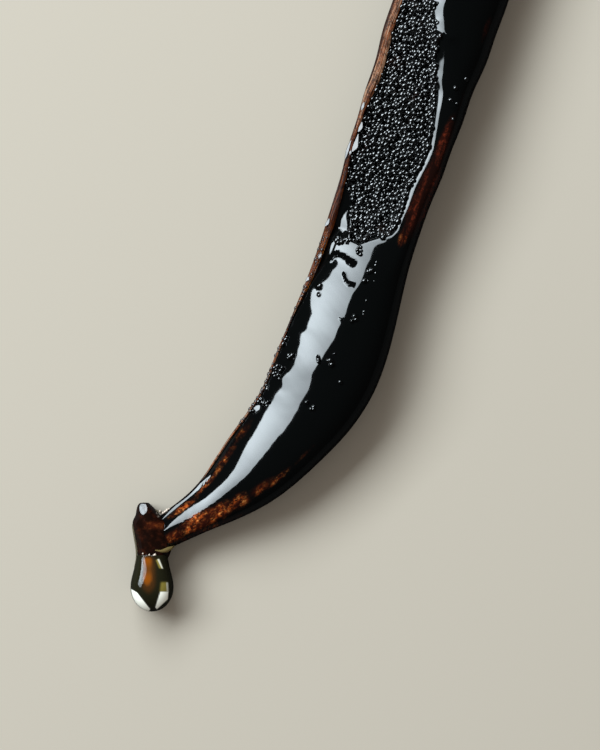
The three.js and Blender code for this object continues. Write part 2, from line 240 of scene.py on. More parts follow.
# the syrup's top is one surface: pool, glaze on the lip and ground under the seeds
syrup = {
    # left and right edge of the face that leans to the light, as shares of the half width
    "leaning": [
        [-0.5, -0.13, -0.12], [0.05, -0.13, -0.12], [0.5, -0.19, -0.1], [1, -0.27, -0.05],
        [2, -0.37, -0.02], [3.5, -0.39, -0.03], [5, -0.36, -0.01], [6, -0.38, 0.02], [7, -0.47, 0.04],
        [8, -0.55, 0.04], [9, -0.59, 0.02], [10, -0.66, 0.0], [11.2, -0.7, -0.02], [12, -0.73, -0.043],
        [12.6, -0.67, -0.065], [13.4, -0.7, -0.1], [14.2, -0.63, -0.14], [15.3, -0.62, -0.18],
        [16.1, -0.67, -0.16], [16.9, -0.75, -0.12], [17.5, -0.68, -0.1], [18.3, -0.68, -0.09],
        [19.1, -0.77, -0.05], [20, -0.83, -0.03], [20.7, -0.73, -0.01], [21.5, -0.64, 0.05],
        [22.2, -0.56, 0.1], [22.9, -0.7, 0.14], [23.5, -0.73, 0.2], [24, -0.6, 0.29],
        [24.5, -0.5, 0.44], [27, -0.5, 0.5],
    ],
    # the same on the lip
    "lipLeaning": [
        [24.4, 0.42, 0.5], [25, 0.47, 0.535], [26, 0.5, 0.55], [27, 0.52, 0.57], [28, 0.505, 0.58],
        [28.8, 0.53, 0.59], [30.6, 0.59, 0.645], [31.4, 0.57, 0.63], [33, 0.475, 0.54],
        [34.6, 0.36, 0.46], [35.2, 0.26, 0.39], [36, 0.17, 0.34], [36.8, 0.11, 0.28],
        [38.4, -0.07, 0.06], [39, -0.15, 0.02], [40.2, -0.28, -0.05], [46, -0.27, -0.1],
        [60, -0.12, 0.03], [82, 0.1, 0.22], [94, 0.08, 0.2], [103, -0.1, 0.0], [110, -0.3, -0.22],
    ],
    # where the seeds begin: share of the half width, distance
    "bedEdge": [
        [-1, 27.6], [-0.8, 26.9], [-0.66, 26.5], [-0.57, 25.9], [-0.46, 24.5], [-0.38, 23.85],
        [-0.2, 23.75], [0, 24.2], [0.2, 24.6], [0.42, 24.85], [0.55, 25.3],
    ],
    # smaller faces that lean to the light, in the same way
    "facets": [
        [
            [0.3, -0.78, -0.7], [1, -0.91, -0.73], [2.1, -0.99, -0.78], [3, -1.0, -0.77],
            [4.1, -0.94, -0.73], [4.9, -0.84, -0.76],
        ],
        [[9.9, -0.87, -0.84], [10.1, -0.95, -0.8], [10.45, -0.95, -0.78], [10.7, -0.87, -0.82]],
        [[10.75, -0.79, -0.78], [10.9, -0.82, -0.75], [11.05, -0.78, -0.77]],
        [[13.5, -0.81, -0.8], [13.7, -0.84, -0.76], [13.9, -0.8, -0.78]],
        [[14.0, -0.86, -0.86], [14.1, -0.89, -0.84], [14.25, -0.86, -0.85]],
        [[14.9, -0.7, -0.7], [15.05, -0.73, -0.67], [15.2, -0.7, -0.69]],
        [[21.75, -0.79, -0.77], [22.1, -0.82, -0.72], [22.45, -0.79, -0.75]],
        [[22.25, -0.71, -0.7], [22.6, -0.76, -0.68], [23.1, -0.75, -0.67], [23.5, -0.72, -0.69]],
        [
            [23.95, -0.6, -0.57], [24.05, -0.63, -0.54], [24.3, -0.675, -0.505],
            [24.55, -0.715, -0.515], [24.85, -0.725, -0.56], [25.1, -0.71, -0.605],
            [25.4, -0.675, -0.625], [25.6, -0.645, -0.635],
        ],
    ],
    "facetEdge": 0.035,  # width of the bend at its edges, in mm
    "facetLean": 0.2,
    "shortFacet": 3,
    # the thin film along the rim, before the seeds begin: up to which share, from where, how steep
    "filmShare": -0.46,
    "filmStart": 24.3,
    "filmSlope": 0.06,
    # left edge of the seeds, as a share of the half width
    "seedsLeft": [
        [24, -0.44], [25, -0.5], [25.8, -0.58], [26.5, -0.72], [27, -0.83], [29, -0.87], [31, -0.89],
        [34, -0.82], [38, -0.83], [110, -0.82],
    ],
    # how far the seeds stay from the lip's bright face, in mm
    "seedsRight": [
        [24, 0.17], [26.5, 0.16], [31, 0.21], [33, 0.26], [34.6, 0.26], [35.3, 0.1], [36.9, 0.1],
        [38, 0.15], [110, 0.15],
    ],
    # steepest and gentlest slope that still mirrors the light
    "mirrorSlopes": [
        [-0.5, 0.6, 0.2], [0, 0.6, 0.2], [1, 0.55, 0.26], [2, 0.57, 0.28], [9, 0.595, 0.255],
        [15, 0.615, 0.31], [21, 0.6, 0.305], [24, 0.6, 0.25], [27, 0.58, 0.27], [110, 0.6, 0.27],
    ],
    # gaps in the light along the lip, where the syrup bulges: height and reach in mm, then the line
    "bulges": [
        [0.22, 0.34, [[38.3, -0.12], [38.2, 0.04], [38.0, 0.22]]],
        [0.12, 0.2, [[49.6, -0.22], [49.4, -0.1]]],
        [0.1, 0.16, [[58.2, -0.1], [58.4, 0.03]]],
        [0.16, 0.25, [[71.5, 0.0], [71.2, 0.12]]],
        [0.1, 0.15, [[93.1, 0.1], [93.0, 0.22]]],
    ],
    # clots of dull pulp that lie in the syrup: half the width in mm, then the line
    "clots": [
        [0.15, [[22.1, -0.68], [22.45, -0.64], [22.64, -0.54], [22.6, -0.42], [22.45, -0.27]]],
        [0.25, [[22.37, -0.25], [22.33, -0.2]]],
        [0.09, [[21.5, -0.3], [21.4, -0.28], [21.2, -0.24]]],
        [0.14, [[21.08, -0.2], [20.97, -0.15], [21.0, -0.06]]],
        [0.15, [[20.25, -0.72], [20.17, -0.68]]],
        [0.08, [[19.74, -0.65], [19.72, -0.64]]],
        [0.08, [[15.75, -0.25], [15.55, -0.2]]],
        [0.06, [[18.62, -0.1], [18.6, -0.07]]],
    ],
    "clotHeight": 0.05,
    "ripples": [[0.007, 2.6, 3.0, 3], [0.003, 0.9, 1.0, 4]],  # slope, lengths along and across, number
    "underRim": 0.06,  # how far its left edge goes in under the rim
    "edgeSlope": 1.05,
    "lipFoot": 0.2,
    "lipFootSlope": 1.2,
    "sinkUnderSeeds": 0.34,
    # the bed comes in from this far before its edge to this far after it, along and at its left
    "bedFade": [0.25, 0.2],
    "shoreFade": [0.04, 0.12],
    # the far end: where the cut closes and how roundly, where the syrup dips into the wall
    "shuts": [103, 109.2],
    "shutRoundness": 1.8,
    "dips": [107.6, 109.3],
    "endDip": 0.13,
    "glazeProud": 0.03,
    # how far the glaze runs down the right side, in degrees above the widest place, near and far
    "glazeEnds": [[0, 4], [42, 4], [52, 30], [96, 34], [104, 50], [109, 80], [110, 88]],
    "glazeWander": 3,
    # the underside: how far it stays from the edges, and how deep it goes
    "backInset": 0.25,
    "backDepths": [0.3, 0.14],
    "backColumns": 18,
    # how fine the surface is: rows near and far, columns left and right of the crest
    "pitchNear": 0.085,
    "pitchFar": 0.3,
    "nearEnd": 46,
    "columnsLeft": 72,
    "columnsRight": 20,
    "samples": 220,
}


# height of a surface that has the given slopes and reaches the crest at the last place
def climbed(places, slopes, crest):
    rises = 0.5 * (slopes[1:] + slopes[:-1]) * np.diff(places)
    return crest - np.concatenate([np.cumsum(rises[::-1])[::-1], [0]])


# how far each place is, in mm, from a line of distances and shares
def awayFrom(path, s, u, w):
    nearest = np.full(np.broadcast(s, u).shape, 99.0)
    for (s0, share0), (s1, share1) in zip(path, path[1:]):
        u0, u1 = share0 * w, share1 * w
        ds, du = s1 - s0, u1 - u0
        f = np.clip(((s - s0) * ds + (u - u0) * du) / (ds * ds + du * du), 0, 1)
        nearest = np.minimum(nearest, np.hypot(s - s0 - f * ds, u - u0 - f * du))
    return nearest


# bulges, clots and smaller bright faces, added to the heights; gives back where the bed is
def addRelief(ribs, across, up, bed, mirrorSlopes):
    s = ribs["s"]
    where = s[:, None], across, ribs["w"][:, None]
    for height, reach, path in syrup["bulges"]:
        up += height * np.exp(-awayFrom(path, *where) / reach)
    for half, path in syrup["clots"]:
        inside = ramp(half + 0.02, half - 0.02, awayFrom(path, *where))
        up += syrup["clotHeight"] * inside
        bed = np.maximum(bed, inside)
    edge = syrup["facetEdge"]
    for table in syrup["facets"]:
        inside = np.flatnonzero((s > table[0][0]) & (s < table[-1][0]))
        lows, highs = (smoothRows(table, s[inside]) * ribs["w"][inside, None]).T
        middles = (lows + highs) / 2
        heights = np.array([np.interp(middle, across[k], up[k]) for middle, k in zip(middles, inside)])
        # the short ones are flat along the pod too
        if table[-1][0] - table[0][0] < syrup["shortFacet"]:
            heights = np.polyval(np.polyfit(s[inside], heights, 1), s[inside])
        for k, low, high, middle, height in zip(inside, lows, highs, middles, heights):
            u = across[k]
            flat = height + lerp(*mirrorSlopes[k], syrup["facetLean"]) * (u - middle)
            up[k] += ramp(low - edge, low + edge, u) * ramp(high + edge, high - edge, u) * (flat - up[k])
    return bed


# for each rib the places across, their heights, and where the bed is; from the rim to the right side
def syrupTop(s):
    ribs = ribsAt(s)
    lean = smoothRows(syrup["leaning"], s)
    lipLean = smoothRows(syrup["lipLeaning"], s)
    edgeShare, edgeAt = np.array(syrup["bedEdge"]).T
    mirrorSlopes = smoothRows(syrup["mirrorSlopes"], s)
    seedsLeft = smoothRows(syrup["seedsLeft"], s)[:, 0]
    fromRim = np.linspace(0, 1, syrup["columnsLeft"])
    across, up, bed = np.empty((3, len(s), len(fromRim)))
    (fadeIn, fadeOut), (shoreIn, shoreOut) = syrup["bedFade"], syrup["shoreFade"]
    for k in range(len(s)):
        steep, gentle = mirrorSlopes[k]
        w, crest, crestAt = ribs["w"][k], ribs["crest"][k], ribs["crestAt"][k]
        left = ribs["left"][k] - syrup["underRim"]
        fine = np.linspace(left, crestAt, syrup["samples"])
        wander = sum(slope * waves(s[k], fine, *lengths) for slope, *lengths in syrup["ripples"])
        wander = wander * ramp(crestAt, crestAt - 0.25, fine)
        # the pool before the seeds: steep at the rim, the bright face, then level at the crest
        leftEdge, rightEdge = max(lean[k, 0] * w, left + 0.1), min(lean[k, 1] * w, crestAt - 0.15)
        places = [left, leftEdge, rightEdge, crestAt]
        slopes = np.interp(fine, places, [syrup["edgeSlope"], steep, gentle, 0]) + wander
        pool = climbed(fine, slopes, crest)
        # the lip beside the seeds
        lipEdges = lipLean[k] * w
        foot = lipEdges[0] - syrup["lipFoot"]
        places = [foot, *lipEdges, crestAt]
        slopes = np.interp(fine, places, [syrup["lipFootSlope"], steep, gentle, 0]) + wander
        lip = climbed(fine, slopes, crest)
        # the seeds lie in a hollow between the film along the rim and the foot of the lip
        shore = max(seedsLeft[k] * w, left + 0.05)
        footHeight = np.interp(foot, fine, lip)
        rimFoot = ribs["rimFoot"][k]
        offShore = ramp(shore - shoreIn, shore + shoreOut, fine)
        hollow = offShore * ramp(foot + 0.02, foot - 0.25, fine)
        f = np.clip((fine - left) / (foot - left), 0, 1)
        ground = lerp(rimFoot, footHeight, f) - syrup["sinkUnderSeeds"] * hollow
        ground = lerp(rimFoot + syrup["filmSlope"] * (fine - left), ground, offShore)
        lip = np.where(fine < foot, ground, lip)
        # at the far end the cut closes
        towardsRim = np.clip((crestAt - fine) / (crestAt - left - 0.04), 0, 1)
        shut = crest - (crest - rimFoot) * towardsRim ** syrup["shutRoundness"]
        lip = lerp(lip, shut, ramp(*syrup["shuts"], s[k]))
        starts = np.interp(fine / w, edgeShare, edgeAt)
        toBed = ramp(starts - fadeIn, starts + fadeOut, s[k])
        # along the rim a film lies on the ground before the seeds begin
        starts = np.where(fine / w < syrup["filmShare"], np.minimum(starts, syrup["filmStart"]), starts)
        height = lerp(pool, lip, ramp(starts - fadeIn, starts + fadeOut, s[k]))
        across[k] = lerp(left, crestAt, fromRim)
        up[k] = np.interp(across[k], fine, height)
        bed[k] = np.interp(across[k], fine, (toBed > 0.5) * (fine < foot + 0.03) * (fine > shore))
    bed = addRelief(ribs, across, up, bed, mirrorSlopes)
    # round the right side, down to where the glaze ends
    end = smoothRows(syrup["glazeEnds"], s)[:, 0]
    end = np.clip(end + syrup["glazeWander"] * waves(s, 0, 5, 1, 5) * ramp(109, 100, s), 0.5, 89)
    turn = np.linspace(0, 1, syrup["columnsRight"] + 1)[1:]
    angles = np.radians(90 - (90 - end[:, None]) * turn)
    right = flankAt(ribs, (ribs["w"] + syrup["glazeProud"])[:, None], angles)
    left = across, up, bed
    return ribs, *(np.concatenate(pair, axis=1) for pair in zip(left, (*right, np.zeros_like(angles))))


near = np.arange(pod["firstRow"], syrup["nearEnd"], syrup["pitchNear"])
far = np.arange(syrup["nearEnd"], pod["troughEnd"] - 0.4, syrup["pitchFar"])
topRows = np.concatenate([near, far])
topRibs, topAcross, topUp, topBed = syrupTop(topRows)
print("syrup surface worked out")


# height of the syrup's top at distances s and places u
def heightAt(s, u):
    s, u = np.broadcast_arrays(np.atleast_1d(s), u)
    i = np.clip(np.searchsorted(topRows, s) - 1, 0, len(topRows) - 2)
    f = np.clip((s - topRows[i]) / (topRows[i + 1] - topRows[i]), 0, 1)
    low = np.array([np.interp(b, topAcross[a], topUp[a]) for a, b in zip(i, u)])
    high = np.array([np.interp(b, topAcross[a + 1], topUp[a + 1]) for a, b in zip(i, u)])
    return lerp(low, high, f)


flesh = {
    # soft patches where it shows through: distance, share, reach along, reach across, strength
    "patches": [
        [0.4, 0.45, 0.9, 0.36, 0.7], [2.3, 0.25, 1.1, 0.26, 1.0], [2.2, 0.58, 1.2, 0.2, 1.0],
        [3.6, 0.42, 1.2, 0.28, 0.85], [2.5, 0.9, 3.0, 0.14, 0.36], [5.0, 0.48, 1.0, 0.24, 0.52],
        [6.7, 0.52, 0.9, 0.13, 0.6], [7.8, 0.62, 1.2, 0.08, 0.45], [10.0, 0.64, 1.6, 0.05, 0.25],
        [1.9, -0.6, 1.2, 0.16, 0.62], [4.4, -0.7, 1.6, 0.1, 0.52], [6.3, -0.75, 1.4, 0.12, 0.4],
        [8.4, -0.8, 1.6, 0.13, 0.27], [24.9, 0.68, 0.7, 0.1, 0.65], [26.8, 0.78, 1.7, 0.18, 1.0],
        [28.8, 0.8, 1.9, 0.18, 1.0], [31.4, 0.81, 1.8, 0.13, 0.8], [34.4, 0.84, 1.4, 0.05, 0.3],
        [39.3, 0.8, 1.0, 0.07, 0.42], [52.0, 0.78, 4.0, 0.1, 0.55], [64.0, 0.82, 3.0, 0.08, 0.5],
        [81.0, 0.8, 5.0, 0.1, 0.55], [99.0, 0.78, 4.0, 0.1, 0.5],
    ],
    "relief": 0.006,
    "grain": [0.35, 0.22],  # lengths along and across, in mm
}


# how much of the flesh shows, from 0 to 1
def fleshAt(s, share):
    amount = np.zeros(np.broadcast(s, share).shape)
    for at, place, along, reach, strength in flesh["patches"]:
        away = ((s - at) / along) ** 2 + ((share - place) / reach) ** 2
        amount = np.maximum(amount, strength * np.exp(-away))
    return amount


def darkSyrupMesh():
    ribs, across, up = topRibs, topAcross, topUp
    s, w = topRows[:, None], ribs["w"][:, None]
    show = fleshAt(s, across / w)
    up = up + flesh["relief"] * show * waves(s, across, *flesh["grain"], 31)
    # it thins out at the far end and dips into the wall
    up = up - syrup["endDip"] * ramp(*syrup["dips"], s)
    # the underside runs back inside the pod's wall
    back = np.linspace(1, 0, syrup["backColumns"])[1:-1]
    backAcross = lerp(across[:, :1], across[:, -1:] - syrup["backInset"], back)
    backUp = np.stack([np.interp(*row) for row in zip(backAcross, across, up)])
    middleDepth, edgeDepth = syrup["backDepths"]
    backUp -= middleDepth * np.sin(np.pi * back) ** 0.5 + edgeDepth
    # the ring is turned round, so that its faces look outward
    allAcross = np.concatenate([across, backAcross], axis=1)[:, ::-1]
    allUp = np.concatenate([up, backUp], axis=1)[:, ::-1]
    hidden = np.zeros_like(backUp)
    layers = {
        "along": s,
        "across": allAcross,
        "flesh": np.concatenate([show, hidden], axis=1)[:, ::-1],
    }
    mesh = ringMesh("darkSyrup", placed(ribs, allAcross, allUp), layers)
    # the ground under the seeds has a material of its own, the second one
    inBed = np.concatenate([topBed, hidden], axis=1)[:-1, ::-1] > 0.5
    mesh.polygons.foreach_set("material_index", np.append(inBed.ravel(), [False, False]).astype(np.int32))
    return mesh


wall = {
    # columns of faces: under the pod, up its right flank, under the syrup, over the rim, down from it
    "underColumns": 18,
    "sideColumns": 26,
    "topColumns": 24,
    "rimColumns": 15,
    "leftColumns": 8,
    "pitch": 0.16,
    "startInside": -0.7,
    # how far it stays under the syrup and the glaze
    "underSyrup": 0.1,
    "underGlaze": 0.035,
    # the cut rim: how far it rises, how far its outer side falls for its width, where the side under
    # it is widest, its waves
    "rimRise": 0.2,
    "rimRiseThin": 0.1,
    "rimFall": 0.5,
    "leftWidestShare": 0.6,
    "rimWave": 0.035,
    "rimWaveLengths": [2.6, 0.65],
    # furrows: depth, then lengths along and round the pod
    "furrow": 0.09,
    "furrowLengths": [17, 1.7],
    "fineFurrow": 0.03,
    "fineFurrowLengths": [15, 0.62],
    "girthPerColumn": 0.3,
    "liftOff": 0.5,  # no furrows on the flat; they are full from this height
    "levelSpan": 8,  # the rim keeps level over this many quarters of a mm each way
}


# the rim keeps level where the syrup beside it dips: the highest place nearby, evened out
levelRows = np.arange(16, 101, 0.25)
nearby = wall["levelSpan"]
beside = heightAt(levelRows, ribsAt(levelRows)["left"] - 0.02)
highest = [beside[max(k - nearby, 0) : k + nearby + 1].max() for k in range(len(beside))]
evenly = np.full(2 * nearby + 1, 1 / (2 * nearby + 1))
rimLevel = np.convolve(np.pad(highest, nearby, "edge"), evenly, "valid")


# where the rim stands: on the syrup, then level beside the seeds, and on the shut pod at the far end
def footAt(s, ribs):
    onSyrup = heightAt(s, ribs["left"] - 0.02)
    level = lerp(onSyrup, np.interp(s, levelRows, rimLevel), ramp(17, 21, s))
    return lerp(level, ribs["rimFoot"], ramp(90, 100, s))[:, None]


# the cut rim is a small roll that rises from the seeds (0) and rounds over to the outside (1)
def rimAt(ribs, foot, a):
    s, left, rim = (ribs[key][:, None] for key in ("s", "left", "rim"))
    rise = lerp(wall["rimRiseThin"], wall["rimRise"], ramp(20, 27, s)) * (1 - 0.6 * ramp(104, 112, s))
    up = foot + rise * np.sin(np.pi * np.minimum(a * 1.15, 1)) ** 0.6 - wall["rimFall"] * rim * a**4
    return left - rim * (0.97 * a - 0.02 * np.sin(np.pi * a)), up


def podWallMesh():
    bend = podLength - pod["bluntEnd"]
    body = np.arange(0.2, bend, wall["pitch"])
    tip = podLength - pod["bluntEnd"] * (1 - np.sin(np.linspace(0, math.pi / 2, 20)))
    s = np.concatenate([[wall["startInside"], 0.0], body, tip])
    ribs = ribsAt(s)
    w, widest, crest = (ribs[key][:, None] for key in ("w", "widest", "crest"))
    left, crestAt, rim = (ribs[key][:, None] for key in ("left", "crestAt", "rim"))
    flat, along = pod["flatShare"] * w, s[:, None]
    a = np.linspace(0, math.pi / 2, wall["underColumns"] + 1)[None, :-1]
    parts = [(flat + (w - flat) * np.sin(a), widest * (1 - np.cos(a)))]
    a = np.linspace(0, math.pi / 2, wall["sideColumns"] + 1)[None, :-1]
    parts.append(flankAt(ribs, w, a))
    # under the syrup and the seeds, and over the closed end
    f = np.linspace(1, 0, wall["topColumns"])[None, :]
    across = lerp(left - 0.02, crestAt, f)
    covered = np.clip(s, topRows[0], topRows[-1])
    up = np.stack([heightAt(*row) for row in zip(covered, across)])
    closedUp = crest - (crest - ribs["rimFoot"][:, None]) * (1 - f) ** syrup["shutRoundness"]
    up = np.where(along > pod["troughEnd"] - 0.5, closedUp, up)
    opened = ramp(pod["troughEnd"] - 0.1, pod["troughEnd"] - 0.9, along)
    deep = np.minimum(1, 6 * f * (1 - f) + 0.35 * (f > 0.5))
    parts.append((across, up - wall["underSyrup"] * opened * deep))
    foot = footAt(s, ribs)
    parts.append(rimAt(ribs, foot, np.linspace(0, 1, wall["rimColumns"] + 1)[None, 1:-1]))
    # the left side goes straight down from the rim, then round under the pod
    rimEnd, rimEndUp = rimAt(ribs, foot, 1.0)
    leftWidest = wall["leftWidestShare"] * (foot - 0.2)
    f = np.linspace(0, 1, wall["leftColumns"] + 1)[None, :-1]
    parts.append((lerp(rimEnd, -w, f), lerp(rimEndUp, leftWidest, f)))
    a = np.linspace(math.pi / 2, 0, wall["underColumns"] + 1)[None, :]
    parts.append((-flat - (w - flat) * np.sin(a), leftWidest * (1 - np.cos(a))))
    across, up = (np.concatenate(rows, axis=1) for rows in zip(*parts))
    starts = np.cumsum([0] + [rows.shape[1] for rows, _ in parts])
    # furrows along the pod: none under the syrup or on the flat that it lies on
    column = np.arange(across.shape[1])
    girth = column * wall["girthPerColumn"]
    onRim = ((column >= starts[3]) & (column < starts[4]))[None, :]
    outside = np.where(column < starts[2], 1.0, ramp(starts[4] - 1, starts[5], column))[None, :]
    lift = np.clip(up / wall["liftOff"], 0, 1)
    deep = np.clip(0.35 + 0.75 * waves(along, girth, *wall["furrowLengths"], 11), 0, 1)
    fine = np.clip(0.5 + 0.5 * waves(along, girth, *wall["fineFurrowLengths"], 12), 0, 1)
    sink = outside * lift * (wall["furrow"] * deep + wall["fineFurrow"] * fine)
    # the flank's top stays under the glaze
    sink = sink + wall["underGlaze"] * ramp(starts[1], starts[2], column) * (column < starts[2])
    # all of this sinks towards a line inside the pod
    middleAt, middleUp = 0.1 * w, 0.45 * crest
    length = np.hypot(across - middleAt, up - middleUp)
    across = across - sink * (across - middleAt) / length
    up = up - sink * (up - middleUp) / length
    # the rim is wavy, less where it is thin and not on its outer side
    outward = np.clip((left - across) / rim, 0, 1)
    wave = waves(along, girth, *wall["rimWaveLengths"], 13)
    up = up + onRim * wall["rimWave"] * wave * np.minimum(1, rim / 0.4) * ramp(1, 0.7, outward)
    layers = {
        "along": along,
        "girth": girth[None, :],
        "rim": onRim * ramp(0.95, 0.6, left - across) * ramp(111, 109, along),
        "outward": outward,
    }
    return ringMesh("podWall", placed(ribs, across, up), layers)


# thin flakes of syrup film on the rim, flat on the side that leans to the light
flakes = {
    # left and right edge, as shares of the half width
    "places": [
        [[29.15, -0.9, -0.88], [29.5, -0.905, -0.81], [29.85, -0.895, -0.83], [30.35, -0.88, -0.87]],
        [[30.5, -0.9, -0.88], [30.8, -0.905, -0.84], [31.15, -0.89, -0.87]],
        [[28.6, -1.0, -0.985], [29.1, -1.01, -0.965], [29.8, -0.985, -0.97]],
        [[31.9, -0.97, -0.95], [32.15, -0.975, -0.93], [32.4, -0.96, -0.94]],
        [[24.1, -1.0, -0.98], [24.3, -1.0, -0.94], [24.6, -0.97, -0.95]],
        [[28.9, -0.93, -0.92], [29.05, -0.94, -0.9], [29.2, -0.93, -0.92]],
        [[22.0, -0.92, -0.9], [22.15, -0.93, -0.88], [22.35, -0.9, -0.88]],
        [[20.35, -1.0, -0.98], [20.5, -1.0, -0.95], [20.65, -0.99, -0.97]],
        [[52.1, -0.92, -0.9], [52.7, -0.93, -0.84], [53.6, -0.91, -0.89]],
        [[66.0, -0.95, -0.93], [66.4, -0.96, -0.88], [66.9, -0.93, -0.92]],
        [[84.2, -0.93, -0.91], [84.9, -0.94, -0.86], [85.6, -0.91, -0.9]],
    ],
    "proud": 0.02,
    "lean": 0.42,
    "sunk": 0.16,
    "rings": 12,
}


def flakesMesh():
    meshes = []
    for table in flakes["places"]:
        s = np.linspace(table[0][0], table[-1][0], flakes["rings"])
        ribs = ribsAt(s)
        low, high = (smoothRows(table, s) * ribs["w"][:, None]).T[:, :, None]
        rimTop = rimAt(ribs, footAt(s, ribs), 0.4)[1]
        top = np.full_like(rimTop, np.median(rimTop) + flakes["proud"])
        ridge = top + flakes["lean"] * (high - low)
        under = top - flakes["sunk"]
        across = np.concatenate([low, high, high + 0.02, low - 0.02], axis=1)
        up = np.concatenate([top, ridge, under, under], axis=1)
        meshes.append(ringMesh("flake", placed(ribs, across[:, ::-1], up[:, ::-1])))
    mesh = joined(meshes, "rimFlakes")
    mesh.shade_flat()
    return mesh


# the stub of the stalk, from its foot on the neck
stalk = {
    "foot": (-58.1, 3.25, 1.3),
    "length": 3.39,
    "heading": 24,
    # share of the length, then how far it reaches to the left and to the right, and half its height
    "outline": [
        [-0.04, 0.8, 1.2, 0.92], [0.06, 0.84, 1.34, 1.0], [0.2, 0.92, 1.45, 1.05],
        [0.45, 1.03, 1.35, 1.14], [0.6, 1.16, 1.15, 1.2], [0.68, 1.1, 0.95, 1.22],
        [0.78, 0.95, 0.62, 1.23], [0.88, 0.89, 0.33, 1.23], [0.96, 0.8, 0.06, 1.2],
        [1, 0.68, -0.08, 1.12],
    ],
    # knife cuts over the end: share and place across that they go through, height, tilt, heading
    "cuts": [
        [0.8, -0.36, 2.48, 25, 75], [0.8, 0.14, 2.44, 42, -35],
    ],
    "snapRelief": 0.006,
    "creases": 0.012,
    "sides": 120,
    "rings": 110,
}
# the amber drop that hangs from the hook, from its top inside the neck to its tip
drip = {
    "top": (-58.05, 3.13, 1.35),
    "tip": (-61.4, 1.64, 1.45),
    "neckRadius": 1.03,
    "radius": 1.4,
    "widestAt": 0.57,
    "sectionPower": 2.6,
    "sides": 128,
    "rings": 110,
    # painted light: the light and dark that the drop would gather and bend, painted on as colour zones
    # (amber and brown glow, olive light, near-white caustics): corners in mm, right of its middle and down
    # from its top
    "paintedLightZones": {
        "amber": [
            [-0.55, 0.1], [0.02, 0.1], [0.1, 1.2], [0.04, 1.8], [-0.25, 2.15], [-0.56, 1.8],
            [-0.6, 1.2],
        ],
        "brown": [
            [-0.6, 0.1], [0.2, 0.1], [0.32, 1.2], [0.25, 2.1], [-0.15, 2.5], [-0.65, 2.1], [-0.65, 1.2],
        ],
        "paintedOliveLight": [[0.62, 1.72], [1.04, 1.72], [1.1, 2.4], [0.54, 2.4]],
        "upperPaintedOliveLight": [[0.27, 0.3], [0.48, 0.2], [0.75, 0.85], [0.5, 0.85]],
        "upperPaintedCaustic": [[0.38, 0.25], [0.5, 0.22], [0.75, 0.85], [0.66, 0.85]],
        "paintedCaustic": [[-1.5, 2.1], [-0.93, 2.4], [-0.56, 2.86], [-0.09, 3.5], [-0.4, 3.9], [-1.6, 3.5]],
        "sidePaintedCaustic": [[0.97, 1.75], [1.08, 1.75], [1.12, 2.4], [1.0, 2.4]],
        "rightPaintedCaustic": [[0.58, 2.35], [1.1, 2.35], [1.05, 2.85], [0.34, 3.5], [0.24, 3.38]],
    },
    "softness": {"amber": 0.2, "brown": 0.22, "paintedOliveLight": 0.11, "upperPaintedOliveLight": 0.05},
    "sharpness": 0.035,
    # painted shade: from this share of the radius out to the outline the near-white zones fade, leaving a
    # dark rim
    "paintedDarkRim": 0.97,
    # painted light: the amber glows in two places, one above the other: how far apart, where the first, how
    # much
    "glow": [1.2, 0.3, 0.2],
    "faint": {"brown": 0.3, "upperPaintedCaustic": 0.6, "sidePaintedCaustic": 0.45},
}


# a point beside the stub, in mm: along it, to its right and up
def besideStub(along, right, up):
    x, y, z = stalk["foot"]
    ahead = math.radians(stalk["heading"])
    east = x + along * math.cos(ahead) + right * math.sin(ahead)
    north = y + along * math.sin(ahead) - right * math.cos(ahead)
    return np.stack(np.broadcast_arrays(east, north, z + up), axis=-1)


def stubMesh():
    shares = np.linspace(stalk["outline"][0][0], 1, stalk["rings"])
    left, right, half = smoothRows(stalk["outline"], shares).T[:, :, None]
    turns = np.linspace(0, 2 * math.pi, stalk["sides"], endpoint=False)[None, :]
    crease = 1 + stalk["creases"] * waves(shares[:, None] * 3.4, turns, 3.2, 1.3, 41)
    across = (right - left) / 2 + (right + left) / 2 * np.cos(turns) * crease
    along = shares[:, None] * stalk["length"] + 0 * across
    up = half * np.sin(turns) * crease
    points = besideStub(along, across, up)
    for share, place, height, tilt, heading in stalk["cuts"]:
        tilt, heading = math.radians(tilt), math.radians(heading)
        at = besideStub(share * stalk["length"], place, 0)
        reach = (points[..., 0] - at[0]) * math.cos(heading) + (points[..., 1] - at[1]) * math.sin(heading)
        rough = stalk["snapRelief"] * waves(along, across, 0.55, 0.45, 42)
        points[..., 2] = np.minimum(points[..., 2], height - math.tan(tilt) * reach + rough)
    layers = {"along": along, "across": across}
    return ringMesh("stalkStub", points * mm, layers)


# 1 inside the corners and 0 outside, for corners that go round clockwise on paper
def zone(x, y, corners, softness):
    inside = np.ones_like(x)
    for (x0, y0), (x1, y1) in zip(corners, corners[1:] + corners[:1]):
        length = math.hypot(x1 - x0, y1 - y0)
        off = ((x1 - x0) * (y - y0) - (y1 - y0) * (x - x0)) / length
        inside = inside * ramp(-softness, softness, off)
    return inside


